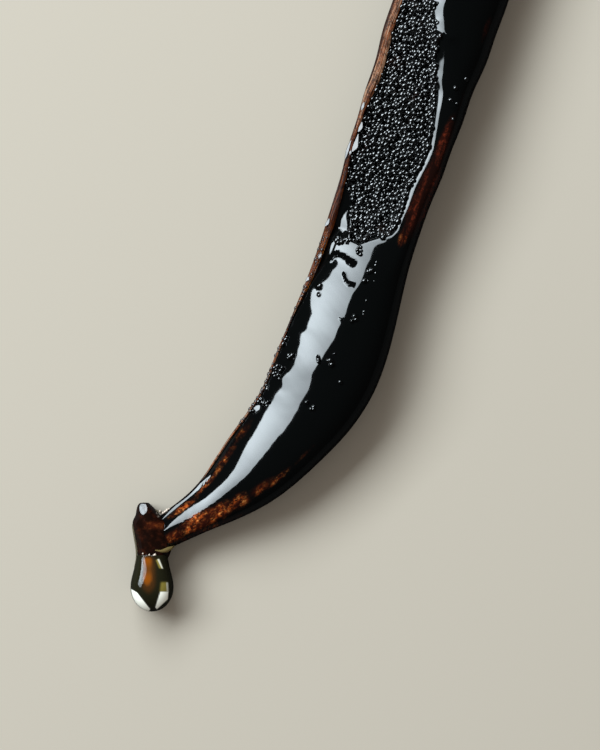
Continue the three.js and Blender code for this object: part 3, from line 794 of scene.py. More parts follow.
def dropMesh():
    top, tip = np.array(drip["top"]), np.array(drip["tip"])
    length = np.linalg.norm(tip - top)
    shares = (np.sin(np.linspace(0, math.pi / 2, drip["rings"])) * 0.9995)[:, None]
    at = drip["widestAt"]
    low = lerp(drip["neckRadius"], drip["radius"], ramp(0, at, shares))
    high = drip["radius"] * np.sqrt(np.maximum(1 - (np.maximum(shares - at, 0) / (1 - at)) ** 2, 0))
    radii = np.where(shares < at, low, high)
    turns = np.linspace(0, 2 * math.pi, drip["sides"], endpoint=False)[None, :]
    down = (tip - top) / length
    side = np.cross(down, [0, 0, 1])
    side = side / np.linalg.norm(side)
    lift = np.cross(side, down)
    roundness = 2 / drip["sectionPower"]
    circle = np.cos(turns), np.sin(turns)
    left, rise = (radii * np.sign(part) * np.abs(part) ** roundness for part in circle)
    points = top + (shares * length)[..., None] * down + left[..., None] * side + rise[..., None] * lift
    x, y = -left, shares * length + 0 * left
    # painted shade: a dark rim along the outline, where the painted caustics fade out
    within = ramp(1, drip["paintedDarkRim"] - 0.04, np.abs(left / radii))
    masks = {}
    for key, corners in drip["paintedLightZones"].items():
        softness = drip["softness"].get(key, drip["sharpness"])
        masks[key] = drip["faint"].get(key, 1) * zone(x, y, corners, softness)
    # painted light: the amber glow rises and falls twice down the drop
    apart, first, much = drip["glow"]
    glow = 1 - much + much * np.cos((y - first) * 2 * math.pi / apart)
    paintedCaustic = np.maximum(masks["paintedCaustic"], masks["rightPaintedCaustic"]) * within
    # painted light, kept as attributes for the drop's material
    layers = {
        "amber": np.maximum(masks["amber"] * glow, masks["brown"]),
        "paintedOliveLight": np.maximum(masks["paintedOliveLight"], masks["upperPaintedOliveLight"]),
        "paintedCaustic": np.maximum(paintedCaustic, np.maximum(masks["upperPaintedCaustic"], masks["sidePaintedCaustic"])),
    }
    return ringMesh("amberDrop", points * mm, layers)


# a tube along points beside the stub, with a radius at each
def tubeMesh(name, path, sides=10, ringsPerPoint=8):
    places = np.linspace(0, len(path) - 1, ringsPerPoint * len(path))
    rows = smoothRows([[k, *row] for k, row in enumerate(path)], places)
    centres, radii = besideStub(rows[:, 0], rows[:, 1], rows[:, 2]), rows[:, 3]
    turns = np.linspace(0, 2 * math.pi, sides, endpoint=False)
    steps = np.gradient(centres, axis=0)
    steps /= np.linalg.norm(steps, axis=1)[:, None]
    side = np.cross(steps, [0, 0, 1])
    side /= np.linalg.norm(side, axis=1)[:, None]
    lift = np.cross(side, steps)
    circle = np.cos(turns)[None, :, None] * side[:, None] + np.sin(turns)[None, :, None] * lift[:, None]
    return ringMesh(name, (centres[:, None] + radii[:, None, None] * circle) * mm)


# clear syrup film: mm along the stub, to its right and up, and the radius there
film = {
    "edge": [
        [2.15, -1.12, 0.35, 0.02], [1.8, -1.11, 0.35, 0.05], [1.1, -0.99, 0.35, 0.06],
        [0.4, -0.88, 0.35, 0.06], [-0.2, -0.88, 0.35, 0.05], [-0.8, -1.02, 0.3, 0.02],
    ],
    "bridge": [
        [2.9, 0.3, 0.0, 0.1], [2.8, 0.66, 0.04, 0.08], [2.74, 0.95, 0.04, 0.09],
        [2.84, 1.3, 0.04, 0.05],
    ],
    "web": [
        [0.62, 1.6, 0.3, 0.03], [0.48, 1.36, 0.56, 0.12], [0.36, 1.06, 0.74, 0.16],
        [0.3, 0.74, 0.9, 0.1], [0.36, 0.36, 1.0, 0.03],
    ],
}
# painted highlights: near-white beads that stand for glints of light at the foot of the stub and between
# stub and pod, in the same way
paintedGlints = {
    "beads": [
        [0.14, -0.44, 0.97, 0.05], [0.06, -0.02, 1.0, 0.055], [0.03, 0.33, 0.98, 0.1],
        [0.0, 0.24, 0.98, 0.06], [2.86, 0.64, 0.14, 0.08], [2.74, 0.84, 0.15, 0.09],
        [2.82, 0.98, 0.16, 0.1], [2.92, 1.1, 0.17, 0.11], [3.0, 1.24, 0.16, 0.07],
    ],
}


# a mesh of loose points in metres, with the radius in mm of the bead that each will carry
def beadPoints(name, places, radii):
    mesh = bpy.data.meshes.new(name)
    mesh.from_pydata(places.tolist(), [], [])
    mesh.attributes.new("radius", "FLOAT", "POINT").data.foreach_set("value", radii * mm)
    return mesh


def paintedGlintPoints():
    along, right, up, radii = np.array(paintedGlints["beads"]).T
    return beadPoints("paintedFootGlints", besideStub(along, right, up) * mm, radii)


# droplets of syrup that hang along the outer side of the rim
droplets = {"start": 8.5, "end": 23.5, "count": 75, "radii": [0.06, 0.13], "sunk": 0.4}


def dropletPoints():
    chance = np.random.default_rng(81)
    s = np.sort(chance.uniform(droplets["start"], droplets["end"], droplets["count"]))
    ribs = ribsAt(s)
    foot = footAt(s, ribs)
    across, up = rimAt(ribs, foot, chance.uniform(0.3, 0.95, len(s))[:, None])
    radii = chance.uniform(*droplets["radii"], len(s))
    up = up - droplets["sunk"] * radii[:, None]
    return beadPoints("rimDroplets", placed(ribs, across, up)[:, 0], radii)


# the seeds' sizes and places, in mm
seed = {
    "length": 0.4,
    "breadth": 0.33,
    "depth": 0.27,
    "pitch": 0.275,
    "spread": 0.33,  # how much their sizes differ
    "looseShare": 0.84,  # loose ones are smaller
    "tilt": 0.9,
    "shift": 0.085,
    # the bed: its pieces, how high its layers stand, its slow and its short waves with their lengths
    "ranges": [[23.5, 47], [47.05, 78], [78.05, 109]],
    "lift": 0.16,
    "lowLift": 0.02,
    "relief": [0.03, 2.4, 1.9],
    "jitter": [0.085, 0.8, 0.7],
    "edgeWander": [0.12, 1, 0.8],
    "patchPitch": 0.15,
    "patchColumns": 40,
    "proud": 0.04,  # how far loose seeds stand out of the syrup
    # loose seeds: distance, share, spread along in mm, spread across as a share, how many, how far sunk
    "loose": [
        [10.95, -0.82, 0.18, 0.12, 15, 0], [9.85, -0.9, 0.1, 0.02, 2, 0],
        [13.6, -0.84, 0.45, 0.07, 19, 0], [15.0, -0.72, 0.12, 0.04, 7, 0],
        [12.1, -0.92, 0.2, 0.02, 5, 0], [16.0, -0.92, 0.25, 0.02, 3, 0], [15.7, 0.02, 0.1, 0.04, 6, 0],
        [15.55, -0.2, 0.15, 0.02, 4, 0], [16.4, 0.02, 0.04, 0.01, 1, 0],
        [14.85, 0.33, 0.03, 0.01, 1, 0], [12.62, 0.12, 0.06, 0.02, 3, 0],
        [12.8, -0.07, 0.03, 0.02, 2, 0], [19.0, 0.19, 0.1, 0.03, 3, 0.02],
        [18.6, 0.13, 0.08, 0.02, 2, 0.04], [22.1, 0.24, 0.12, 0.03, 4, 0.03],
        [21.4, 0.2, 0.1, 0.03, 2, 0.04], [21.0, 0.45, 2.2, 0.2, 8, 0.13],
        [20.3, -0.7, 0.1, 0.02, 3, 0.03], [19.75, -0.65, 0.05, 0.01, 1, 0.03],
        [23.45, -0.6, 0.12, 0.08, 12, 0], [23.65, -0.45, 0.15, 0.06, 9, 0],
        [23.25, -0.13, 0.22, 0.04, 12, 0], [24.0, -0.2, 0.25, 0.12, 18, 0],
        [24.4, 0.02, 0.12, 0.08, 9, 0], [24.6, 0.17, 0.1, 0.08, 6, 0],
        [25.6, -0.52, 0.4, 0.04, 8, 0.03], [26.6, -0.68, 0.3, 0.05, 8, 0.05],
        [35.9, 0.16, 0.35, 0.015, 7, 0], [37.8, 0.02, 0.25, 0.03, 6, 0],
        [38.6, -0.11, 0.25, 0.015, 5, 0], [39.5, -0.23, 0.4, 0.015, 6, 0],
        [33.0, 0.76, 1.4, 0.06, 3, 0.12], [35.5, 0.74, 1.8, 0.1, 5, 0.13],
        [52.0, 0.5, 3.0, 0.12, 14, 0.1], [68.0, 0.6, 5.0, 0.12, 18, 0.1],
        [90.0, 0.58, 6.0, 0.1, 14, 0.1],
    ],
}


# a patch of the bed that seeds can stand on, between two distances, raised by lift mm
def bedPatch(start, end, lift):
    rows = np.arange(start, end, seed["patchPitch"])
    ribs = ribsAt(rows)
    wide, along = ribs["w"][:, None], rows[:, None]
    first = np.maximum(smoothRows(syrup["seedsLeft"], rows) * wide, ribs["left"][:, None]) + 0.05
    last = smoothRows(syrup["lipLeaning"], rows)[:, :1] * wide - smoothRows(syrup["seedsRight"], rows)
    across = lerp(first, last, np.linspace(0, 1, seed["patchColumns"])[None, :])
    up = np.stack([heightAt(*row) for row in zip(rows, across)]) + lift
    for key, number in (("relief", 51), ("jitter", 53)):
        height, *lengths = seed[key]
        up = up + height * waves(along, across, *lengths, number)
    wander, *lengths = seed["edgeWander"]
    starts = np.interp(across / wide, *np.array(syrup["bedEdge"]).T)
    starts = starts + wander * waves(0, across, *lengths, 52)
    index = np.arange(across.size).reshape(across.shape)
    quads = np.stack([index[:-1, :-1], index[:-1, 1:], index[1:, 1:], index[1:, :-1]], axis=-1)
    wanted = ((along > starts) & (across[:, -1:] - across[:, :1] > 0.3))[:-1, :-1]
    mesh = bpy.data.meshes.new("bedPatch")
    mesh.from_pydata(placed(ribs, across, up).reshape(-1, 3).tolist(), [], quads[wanted].tolist())
    mesh.update()
    return mesh


# a tree that starts from a ground mesh, with inputs from rows of label, kind and value
def newTree(name, rows):
    tree = bpy.data.node_groups.new(name, "GeometryNodeTree")
    tree.interface.new_socket("Ground", in_out="INPUT", socket_type="NodeSocketGeometry")
    for label, kind, value in rows:
        tree.interface.new_socket(label, in_out="INPUT", socket_type=kind).default_value = value
    tree.interface.new_socket("Result", in_out="OUTPUT", socket_type="NodeSocketGeometry")
    return tree, addNode(tree, "NodeGroupInput").outputs


# ends a tree: real faces, smooth shading, one material
def endTree(tree, geometry, material):
    whole = addNode(tree, "GeometryNodeRealizeInstances", {}, geometry)
    smooth = addNode(tree, "GeometryNodeSetShadeSmooth", {}, whole)
    painted = addNode(tree, "GeometryNodeSetMaterial", {}, smooth, Material=material)
    addNode(tree, "NodeGroupOutput", {}, painted)


# seeds on a surface, as close as the pitch allows, or one on each vertex of a loose set
def seedTree(material, loose=False):
    labels = "Pitch", "Length", "Breadth", "Depth"
    rows = [(label, "NodeSocketFloat", seed[label.lower()] * mm) for label in labels]
    rows += [("Spread", "NodeSocketFloat", seed["spread"]), ("Seed", "NodeSocketInt", 7)]
    tree, given = newTree("looseSeeds" if loose else "packedSeeds", rows)
    ball = addNode(tree, "GeometryNodeMeshUVSphere", {}, 8, 5, 0.5)
    form = addNode(tree, "ShaderNodeCombineXYZ", {}, given["Length"], given["Breadth"], given["Depth"])
    share = seed["looseShare"] if loose else 1.0
    form = addNode(tree, "ShaderNodeVectorMath", {"operation": "SCALE"}, form, share)
    shaped = addNode(tree, "GeometryNodeTransform", {}, ball, Scale=form)
    least, most = (-seed["tilt"], -seed["tilt"], 0), (seed["tilt"], seed["tilt"], 2 * math.pi)
    turn = addNode(tree, "FunctionNodeRandomValue", anyVector, least, most, Seed=11)
    points = given["Ground"]
    if not loose:
        packed = addNode(
            tree,
            "GeometryNodeDistributePointsOnFaces",
            {"distribute_method": "POISSON"},
            given["Ground"],
            Distance_Min=given["Pitch"],
            Density_Max=3.0e8,
            Seed=given["Seed"],
        )
        points, upright = packed.outputs["Points"], packed.outputs["Rotation"]
        turn = addNode(tree, "FunctionNodeRotateRotation", {"rotation_space": "LOCAL"}, upright, turn)
    low = addNode(tree, "ShaderNodeMath", {"operation": "SUBTRACT"}, 1.0, given["Spread"])
    high = addNode(tree, "ShaderNodeMath", {"operation": "ADD"}, 1.0, given["Spread"])
    size = addNode(tree, "FunctionNodeRandomValue", {"data_type": "FLOAT"}, low, high, Seed=23)
    shift = seed["shift"] * mm
    nudge = addNode(tree, "FunctionNodeRandomValue", anyVector, [-shift] * 3, [shift] * 3, Seed=37)
    moved = addNode(tree, "GeometryNodeSetPosition", {}, points, Offset=nudge)
    standing = addNode(
        tree, "GeometryNodeInstanceOnPoints", {}, moved, Instance=shaped, Rotation=turn, Scale=size
    )
    endTree(tree, standing, material)
    return tree


# round strands along the edges of a mesh, thick in the middle and thin at both ends
def fibreTree(material):
    tree, given = newTree("rimFibres", [("Thickness", "NodeSocketFloat", fibre["thickness"] * mm)])
    strands = addNode(tree, "GeometryNodeMeshToCurve", {}, given["Ground"])
    along = addNode(tree, "GeometryNodeSplineParameter")
    rest = addNode(tree, "ShaderNodeMath", {"operation": "SUBTRACT"}, 1.0, along)
    bow = addNode(tree, "ShaderNodeMath", times, along, rest)
    thick = addNode(tree, "ShaderNodeMath", {"operation": "MULTIPLY_ADD"}, bow, 3.4, 0.15)
    width = addNode(tree, "ShaderNodeMath", times, thick, given["Thickness"])
    ring = addNode(tree, "GeometryNodeCurvePrimitiveCircle", {}, 5, 0.5)
    tubes = addNode(tree, "GeometryNodeCurveToMesh", {}, strands, ring, width, True)
    endTree(tree, tubes, material)
    return tree


# flattened beads on the vertices of a mesh, each as large as its radius attribute says
def beadTree(material):
    sizes = {"Length": 1.25, "Breadth": 0.95, "Depth": 0.8}  # shares of the radius
    tree, given = newTree("beads", [(label, "NodeSocketFloat", size) for label, size in sizes.items()])
    ball = addNode(tree, "GeometryNodeMeshUVSphere", {}, 12, 8, 1.0)
    form = addNode(tree, "ShaderNodeCombineXYZ", {}, given["Length"], given["Breadth"], given["Depth"])
    shaped = addNode(tree, "GeometryNodeTransform", {}, ball, Scale=form)
    radius = addNode(tree, "GeometryNodeInputNamedAttribute", {"data_type": "FLOAT"}, "radius")
    standing = addNode(
        tree, "GeometryNodeInstanceOnPoints", {}, given["Ground"], Instance=shaped, Scale=radius
    )
    endTree(tree, standing, material)
    return tree


# runs a tree on a mesh, with values for its inputs, and returns the plain mesh that comes out
def grown(mesh, tree, **values):
    ground = bpy.data.objects.new("ground", mesh)
    bpy.context.scene.collection.objects.link(ground)
    modifier = ground.modifiers.new("grow", "NODES")
    modifier.node_group = tree
    for item in tree.interface.items_tree:
        if item.name in values:
            modifier[item.identifier] = values[item.name]
    ready = ground.evaluated_get(bpy.context.evaluated_depsgraph_get())
    result = bpy.data.meshes.new_from_object(ready)
    ground.modifiers.clear()
    bpy.data.objects.remove(ground)
    return result


def joined(meshes, name):
    whole = bmesh.new()
    for mesh in meshes:
        whole.from_mesh(mesh)
    result = bpy.data.meshes.new(name)
    whole.to_mesh(result)
    whole.free()
    result.shade_smooth()
    return result


# loose seeds near each place in the table, standing on the syrup
def loosePoints():
    chance = np.random.default_rng(61)
    points = []
    for at, share, along, across, count, sunk in seed["loose"]:
        s = at + along * chance.uniform(-1, 1, count)
        u = (share + across * chance.uniform(-1, 1, count)) * smoothRows(pod["halfWidths"], s)[:, 0]
        up = heightAt(s, u) + seed["proud"] - sunk
        points += placed(ribsAt(s), u[:, None], up[:, None])[:, 0].tolist()
    mesh = bpy.data.meshes.new("looseSeeds")
    mesh.from_pydata(points, [], [])
    return mesh


# fibres of the torn rim
fibre = {
    # from where to where, how many strands, and how pale they are; the pale strands from 5 to 20 mm are
    # partly painted highlight along the rim's edge
    "bands": [
        [5, 20, 30, 0.62], [19, 26, 34, 0.1], [24, 33, 60, 0.06], [31, 48, 150, 0.7],
        [47, 108, 200, 0.42],
    ],
    "thickness": 0.07,
    "lengths": [1.2, 3.6],
    "steps": 12,
    "wander": 0.045,
    "paleSpread": 0.42,
}


def fibreLines():
    chance = np.random.default_rng(71)
    points, edges, tones = [], [], []
    for start, end, count, pale in fibre["bands"]:
        for _ in range(count):
            at, length = chance.uniform(start, end), chance.uniform(*fibre["lengths"])
            s = np.clip(at + length * np.linspace(-0.5, 0.5, fibre["steps"]), 0.5, pod["troughEnd"] - 1)
            ribs = ribsAt(s)
            bend = chance.uniform(0.6, 2.4) * np.linspace(-1, 1, len(s))
            sway = fibre["wander"] * np.sin(bend + chance.uniform(0, 6))
            spot = np.clip(chance.uniform(0.02, 0.92) + sway, 0.02, 0.96) * np.minimum(1, 0.6 / ribs["rim"])
            across, up = rimAt(ribs, footAt(s, ribs), spot[:, None])
            first = len(points)
            points += placed(ribs, across, up)[:, 0].tolist()
            edges += [(first + k, first + k + 1) for k in range(len(s) - 1)]
            tones += [pale + fibre["paleSpread"] * chance.uniform(-1, 1)] * len(s)
    mesh = bpy.data.meshes.new("rimFibres")
    mesh.from_pydata(points, edges, [])
    mesh.attributes.new("tone", "FLOAT", "POINT").data.foreach_set("value", tones)
    return mesh


# a material whose shader is built by a function, from the attributes of the piece that it reads
def newMaterial(name, build, *attributes):
    material = bpy.data.materials.new(name)
    material.use_nodes = True
    tree = material.node_tree
    tree.nodes.clear()
    readers = [addNode(tree, "ShaderNodeAttribute", {"attribute_name": key}) for key in attributes]
    shader = build(tree, *(reader.outputs["Fac"] for reader in readers))
    addNode(tree, "ShaderNodeOutputMaterial", {}, shader)
    return material


# Thick vanilla syrup, boiled down and poured: black where deep, red-amber where thin over the flesh.
# The attributes are in mm, so a pattern's scale is 1 over the size of its grain in mm
def pouredSyrup(tree, along, across, thin):
    # the flesh on the stalk half is drawn out along the pod: grain 0.38 mm, crumbs 0.15 mm, clumps 0.9 mm
    stretch = addNode(tree, "ShaderNodeMapRange", smoothly, along, 12.0, 22.0, 0.6, 0.2)
    stretched = addNode(tree, "ShaderNodeMath", times, along, stretch)
    place = addNode(tree, "ShaderNodeCombineXYZ", {}, stretched, across)
    cells = addNode(tree, "ShaderNodeTexNoise", {}, place, Scale=2.6, Detail=5.0, Roughness=0.68)
    bits = addNode(tree, "ShaderNodeTexVoronoi", {}, place, Scale=6.5)
    clumps = addNode(tree, "ShaderNodeTexNoise", {}, place, Scale=1.1, Detail=2.0)
    clump = addNode(tree, "ShaderNodeMapRange", smoothly, clumps, 0.4, 0.6, 0.15, 1.0)
    cell = addNode(tree, "ShaderNodeMapRange", smoothly, cells, 0.4, 0.64)
    lit = addNode(tree, "ShaderNodeMath", times, clump, cell)
    pale = addNode(tree, "ShaderNodeMapRange", smoothly, bits, 0.05, 0.55)
    bright = addNode(tree, "ShaderNodeMix", blend, pale, linear("f09a50"), linear("aa4c1a"))
    # specks of 0.28 mm everywhere: real ones are finer, and these are as coarse as it takes to see them
    flat = addNode(tree, "ShaderNodeCombineXYZ", {}, along, across)
    specks = addNode(tree, "ShaderNodeTexNoise", {}, flat, Scale=3.6, Detail=4.0, Roughness=0.75)
    speck = addNode(tree, "ShaderNodeMapRange", smoothly, specks, 0.42, 0.66, 0.12, 1.0)
    speckled = addNode(tree, "ShaderNodeMath", times, lit, speck)
    onLip = addNode(tree, "ShaderNodeMix", blend, speckled, linear("150705"), linear("5e2313"))
    fleck = addNode(tree, "ShaderNodeMapRange", smoothly, specks, 0.42, 0.56, 0.12, 1.45)
    flecked = addNode(tree, "ShaderNodeMath", times, lit, fleck)
    onNeck = addNode(tree, "ShaderNodeMix", blend, flecked, linear("280c07"), bright)
    # the neck's flesh up to 24 mm or so, the lip's after that
    lip = addNode(tree, "ShaderNodeMapRange", smoothly, along, 23.6, 25.4)
    fleshColour = addNode(tree, "ShaderNodeMix", blend, lip, onNeck, onLip)
    shown = addNode(tree, "ShaderNodeMapRange", smoothly, thin, 0.12, 0.7)
    colour = addNode(tree, "ShaderNodeMix", blend, shown, linear("050606"), fleshColour)
    rough = addNode(tree, "ShaderNodeMapRange", smoothly, thin, 0.2, 0.9, 0.05, 0.12)
    height = addNode(tree, "ShaderNodeMath", times, cells, thin)
    bump = addNode(tree, "ShaderNodeBump", {}, Strength=0.12, Distance=0.1 * mm, Height=height)
    return addNode(tree, "ShaderNodeBsdfPrincipled", {}, colour, Roughness=rough, IOR=1.5, Normal=bump)


# how dark the specks of pulp and of painted shadow on the torn rim are: 0.28 mm, coarser than real ones, to
# show
def pulpAndShadeSpecks(tree):
    place = addNode(tree, "ShaderNodeTexCoord").outputs["Object"]
    specks = addNode(tree, "ShaderNodeTexNoise", {}, place, Scale=3600.0, Detail=3.0, Roughness=0.65)
    return addNode(tree, "ShaderNodeMapRange", smoothly, specks, 0.46, 0.62, 0.0, 0.75)


# Cured vanilla skin, fermented and dried: dark oily brown, wrinkled lengthways, tan fibres where cut
def curedSkin(tree, along, girth, rim, outward):
    # fibres 0.22 mm thick and 1.4 mm long, and spots of 0.8 mm
    stretched = addNode(tree, "ShaderNodeMath", times, along, 0.16)
    place = addNode(tree, "ShaderNodeCombineXYZ", {}, stretched, girth)
    fibres = addNode(tree, "ShaderNodeTexNoise", {}, place, Scale=4.5, Detail=4.0, Roughness=0.6)
    streak = addNode(tree, "ShaderNodeMapRange", smoothly, fibres, 0.35, 0.68)
    flat = addNode(tree, "ShaderNodeCombineXYZ", {}, along, girth)
    spots = addNode(tree, "ShaderNodeTexNoise", {}, flat, Scale=1.3, Detail=3.0)
    skin = addNode(tree, "ShaderNodeMix", blend, streak, linear("130907"), linear("2a150c"))
    amber = addNode(tree, "ShaderNodeMix", blend, streak, linear("2c0e04"), linear("d0741c"))
    red = addNode(tree, "ShaderNodeMix", blend, streak, linear("130604"), linear("3e1b0d"))
    tan = addNode(tree, "ShaderNodeMix", blend, streak, linear("33170e"), linear("7a5741"))
    # the rim's colour along the pod: each takes over between two distances
    edge = linear("24100a")
    for start, end, after in ((17.5, 20.5, amber), (23.5, 25.5, red), (31.5, 34.0, tan)):
        share = addNode(tree, "ShaderNodeMapRange", smoothly, along, start, end)
        edge = addNode(tree, "ShaderNodeMix", blend, share, edge, after)
    # darker on its outer side, in spots, and in specks that are partly painted shadow
    outer = addNode(tree, "ShaderNodeMapRange", smoothly, outward, 0.62, 0.9, 0.0, 0.85)
    spot = addNode(tree, "ShaderNodeMapRange", smoothly, spots, 0.5, 0.64, 0.0, 0.8)
    for share, hexText in ((outer, "2c0f08"), (spot, "2a0f07"), (pulpAndShadeSpecks(tree), "180904")):
        edge = addNode(tree, "ShaderNodeMix", blend, share, edge, linear(hexText))
    colour = addNode(tree, "ShaderNodeMix", blend, rim, skin, edge)
    dry = addNode(tree, "ShaderNodeMapRange", smoothly, along, 31.0, 34.0, 0.2, 0.42)
    offRim = addNode(tree, "ShaderNodeMapRange", smoothly, rim, 0.2, 0.8, 0.45, 0.0)
    rough = addNode(tree, "ShaderNodeMath", larger, dry, offRim)
    bump = addNode(tree, "ShaderNodeBump", {}, Strength=0.7, Distance=0.08 * mm, Height=fibres)
    dull = {"Roughness": rough, "Specular_IOR_Level": 0.28}
    return addNode(tree, "ShaderNodeBsdfPrincipled", {}, colour, Normal=bump, **dull)


# Vanilla seeds, wet with syrup: hard, shiny and black, a few with brown pulp on them.
# The pulp changes over 1.1 mm and the coat of syrup over 0.38 mm, about from seed to seed
def wetSeed(tree):
    place = addNode(tree, "ShaderNodeTexCoord").outputs["Object"]
    pulp = addNode(tree, "ShaderNodeTexNoise", {}, place, Scale=900.0, Detail=2.0)
    brown = addNode(tree, "ShaderNodeMapRange", smoothly, pulp, 0.6, 0.8)
    colour = addNode(tree, "ShaderNodeMix", blend, brown, linear("060606"), linear("1c100c"))
    coats = addNode(tree, "ShaderNodeTexNoise", {}, place, Scale=2600.0, Detail=1.0)
    rough = addNode(tree, "ShaderNodeMapRange", smoothly, coats, 0.42, 0.62, 0.04, 0.16)
    return addNode(tree, "ShaderNodeBsdfPrincipled", {}, colour, Roughness=rough, IOR=1.88)


# Torn plant fibres of the rim, dried by curing: pale tan to red-brown, a little glossy from the syrup
def curedFibre(tree, tone):
    share = addNode(tree, "ShaderNodeMapRange", smoothly, tone, 0.0, 0.5)
    dark = addNode(tree, "ShaderNodeMix", blend, share, linear("2c0f08"), linear("783a12"))
    share = addNode(tree, "ShaderNodeMapRange", smoothly, tone, 0.45, 1.1)
    colour = addNode(tree, "ShaderNodeMix", blend, share, dark, linear("a07c62"))
    # specks, partly dark pulp and partly painted shadow
    colour = addNode(tree, "ShaderNodeMix", blend, pulpAndShadeSpecks(tree), colour, linear("180904"))
    return addNode(tree, "ShaderNodeBsdfPrincipled", {}, colour, Roughness=0.3, IOR=1.28)


# Snapped vanilla stalk soaked in syrup: almost black and red-brown, with painted amber light where light
# would shine through
def soakedStalk(tree, along, across):
    place = addNode(tree, "ShaderNodeCombineXYZ", {}, across, along)
    grain = addNode(tree, "ShaderNodeTexNoise", {}, place, Scale=2.2, Detail=5.0, Roughness=0.62)  # 0.45 mm
    lit = addNode(tree, "ShaderNodeMapRange", smoothly, grain, 0.45, 0.75)
    colour = addNode(tree, "ShaderNodeMix", blend, lit, linear("140805"), linear("36160b"))
    # painted light: a lighter amber streak across, where light would shine through the thin soaked flesh:
    # 1.6 to 2.35 mm along the stub
    streak = addNode(tree, "ShaderNodeMapRange", smoothly, along, 1.6, 1.98)
    for axis, start, end in ((along, 2.35, 2.02), (across, -0.6, 0.5)):
        inside = addNode(tree, "ShaderNodeMapRange", smoothly, axis, start, end)
        streak = addNode(tree, "ShaderNodeMath", times, streak, inside)
    glow = addNode(tree, "ShaderNodeMix", blend, lit, linear("44190b"), linear("8f4a20"))
    colour = addNode(tree, "ShaderNodeMix", blend, streak, colour, glow)
    bump = addNode(tree, "ShaderNodeBump", {}, Strength=0.2, Distance=0.1 * mm, Height=grain)
    return addNode(tree, "ShaderNodeBsdfPrincipled", {}, colour, Roughness=0.1, IOR=1.5, Normal=bump)


# Clear amber syrup, filtered and hanging in a drop, partly clear; its light and shade are painted: painted
# dark olive where it would bend light away, painted amber, olive and near-white light where it would gather
# it
def clearAmber(tree, amber, paintedOliveLight, paintedCaustic):
    # dark olive: the syrup's own tint and painted shade
    colour = linear("2c2a1b")
    for share, hexText in ((amber, "7c3f0a"), (paintedOliveLight, "7a6c30"), (paintedCaustic, "fffdf0")):
        colour = addNode(tree, "ShaderNodeMix", blend, share, colour, linear(hexText))
    lit = addNode(tree, "ShaderNodeMath", larger, amber, paintedOliveLight)
    lit = addNode(tree, "ShaderNodeMath", larger, lit, paintedCaustic)
    # where light is painted on, less light goes through
    clear = addNode(tree, "ShaderNodeMapRange", smoothly, lit, 0.0, 1.0, 0.55, 0.0)
    glassy = {"Roughness": 0.03, "IOR": 1.38, "Transmission_Weight": clear}
    return addNode(tree, "ShaderNodeBsdfPrincipled", {}, colour, **glassy)


# Painted board under the pod; it sends little light back up, as black card beside the pod would
def paleBoard(tree):
    rays = addNode(tree, "ShaderNodeLightPath").outputs
    colour = linear("5c544a")
    for ray, hexText in (("Transmission", "2c2620"), ("Glossy", "1e1b18"), ("Camera", "b0a698")):
        colour = addNode(tree, "ShaderNodeMix", blend, rays["Is " + ray + " Ray"], colour, linear(hexText))
    return addNode(tree, "ShaderNodeBsdfPrincipled", {}, colour, Roughness=0.9)


thinSyrup = {"Roughness": 0.03, "IOR": 1.4, "Transmission_Weight": 0.7}
# finishes that are the same all over
evenFinishes = {
    # vanilla pulp under the seeds, soaked with syrup: takes all the light, so the seeds stand out
    "soakedPulp": {"Base_Color": linear("050505"), "Roughness": 0.9, "Specular_IOR_Level": 0.0},
    # amber syrup drawn out to a thin film: pale and clear
    "paleSyrupFilm": {"Base_Color": linear("9c9078"), **thinSyrup},
    "oliveSyrupFilm": {"Base_Color": linear("b39a62"), **thinSyrup},
    # painted highlights: near-white beads that stand for glints at the stub's foot, light and almost smooth
    "paintedGlintBeads": {"Base_Color": linear("c9b8a8"), "Roughness": 0.2, "IOR": 1.4},
    # syrup half dried on the rim: dark brown from the pulp in it, glossy where it faces the light
    "driedSyrup": {"Base_Color": linear("261610"), "Roughness": 0.08, "IOR": 1.56},
}


def evenFinish(name):
    inputs = evenFinishes[name]
    return newMaterial(name, lambda tree: addNode(tree, "ShaderNodeBsdfPrincipled", **inputs))


seedFinish = newMaterial("wetSeed", wetSeed)
fibreFinish = newMaterial("curedFibre", curedFibre, "tone")
driedFinish = evenFinish("driedSyrup")
paintedGlintFinish = evenFinish("paintedGlintBeads")
filmFinish = evenFinish("paleSyrupFilm")
syrupFinish = newMaterial("pouredSyrup", pouredSyrup, "along", "across", "flesh")
skinFinish = newMaterial("curedSkin", curedSkin, "along", "girth", "rim", "outward")
stalkFinish = newMaterial("soakedStalk", soakedStalk, "along", "across")
amberFinish = newMaterial("clearAmber", clearAmber, "amber", "paintedOliveLight", "paintedCaustic")

darkSyrup = addPiece("darkSyrup", darkSyrupMesh(), syrupFinish, evenFinish("soakedPulp"))
podWall = addPiece("podWall", podWallMesh(), skinFinish)
stalkStub = addPiece("stalkStub", stubMesh(), stalkFinish)
amberDrop = addPiece("amberDrop", dropMesh(), amberFinish)
rimFlakes = addPiece("rimFlakes", flakesMesh(), driedFinish)
rimDroplets = addPiece("rimDroplets", grown(dropletPoints(), beadTree(driedFinish)), driedFinish)
filmEdge = addPiece("filmEdge", tubeMesh("filmEdge", film["edge"]), filmFinish)
filmBridge = addPiece("filmBridge", tubeMesh("filmBridge", film["bridge"]), filmFinish)
filmWeb = addPiece("filmWeb", tubeMesh("filmWeb", film["web"]), evenFinish("oliveSyrupFilm"))
# near-white beads: painted highlights at the stub's foot
paintedFootGlints = addPiece("paintedFootGlints", grown(paintedGlintPoints(), beadTree(paintedGlintFinish)), paintedGlintFinish)
print("pod, syrup and drop made")

rimFibres = addPiece("rimFibres", grown(fibreLines(), fibreTree(fibreFinish)), fibreFinish)
print("fibres", len(rimFibres.data.polygons))

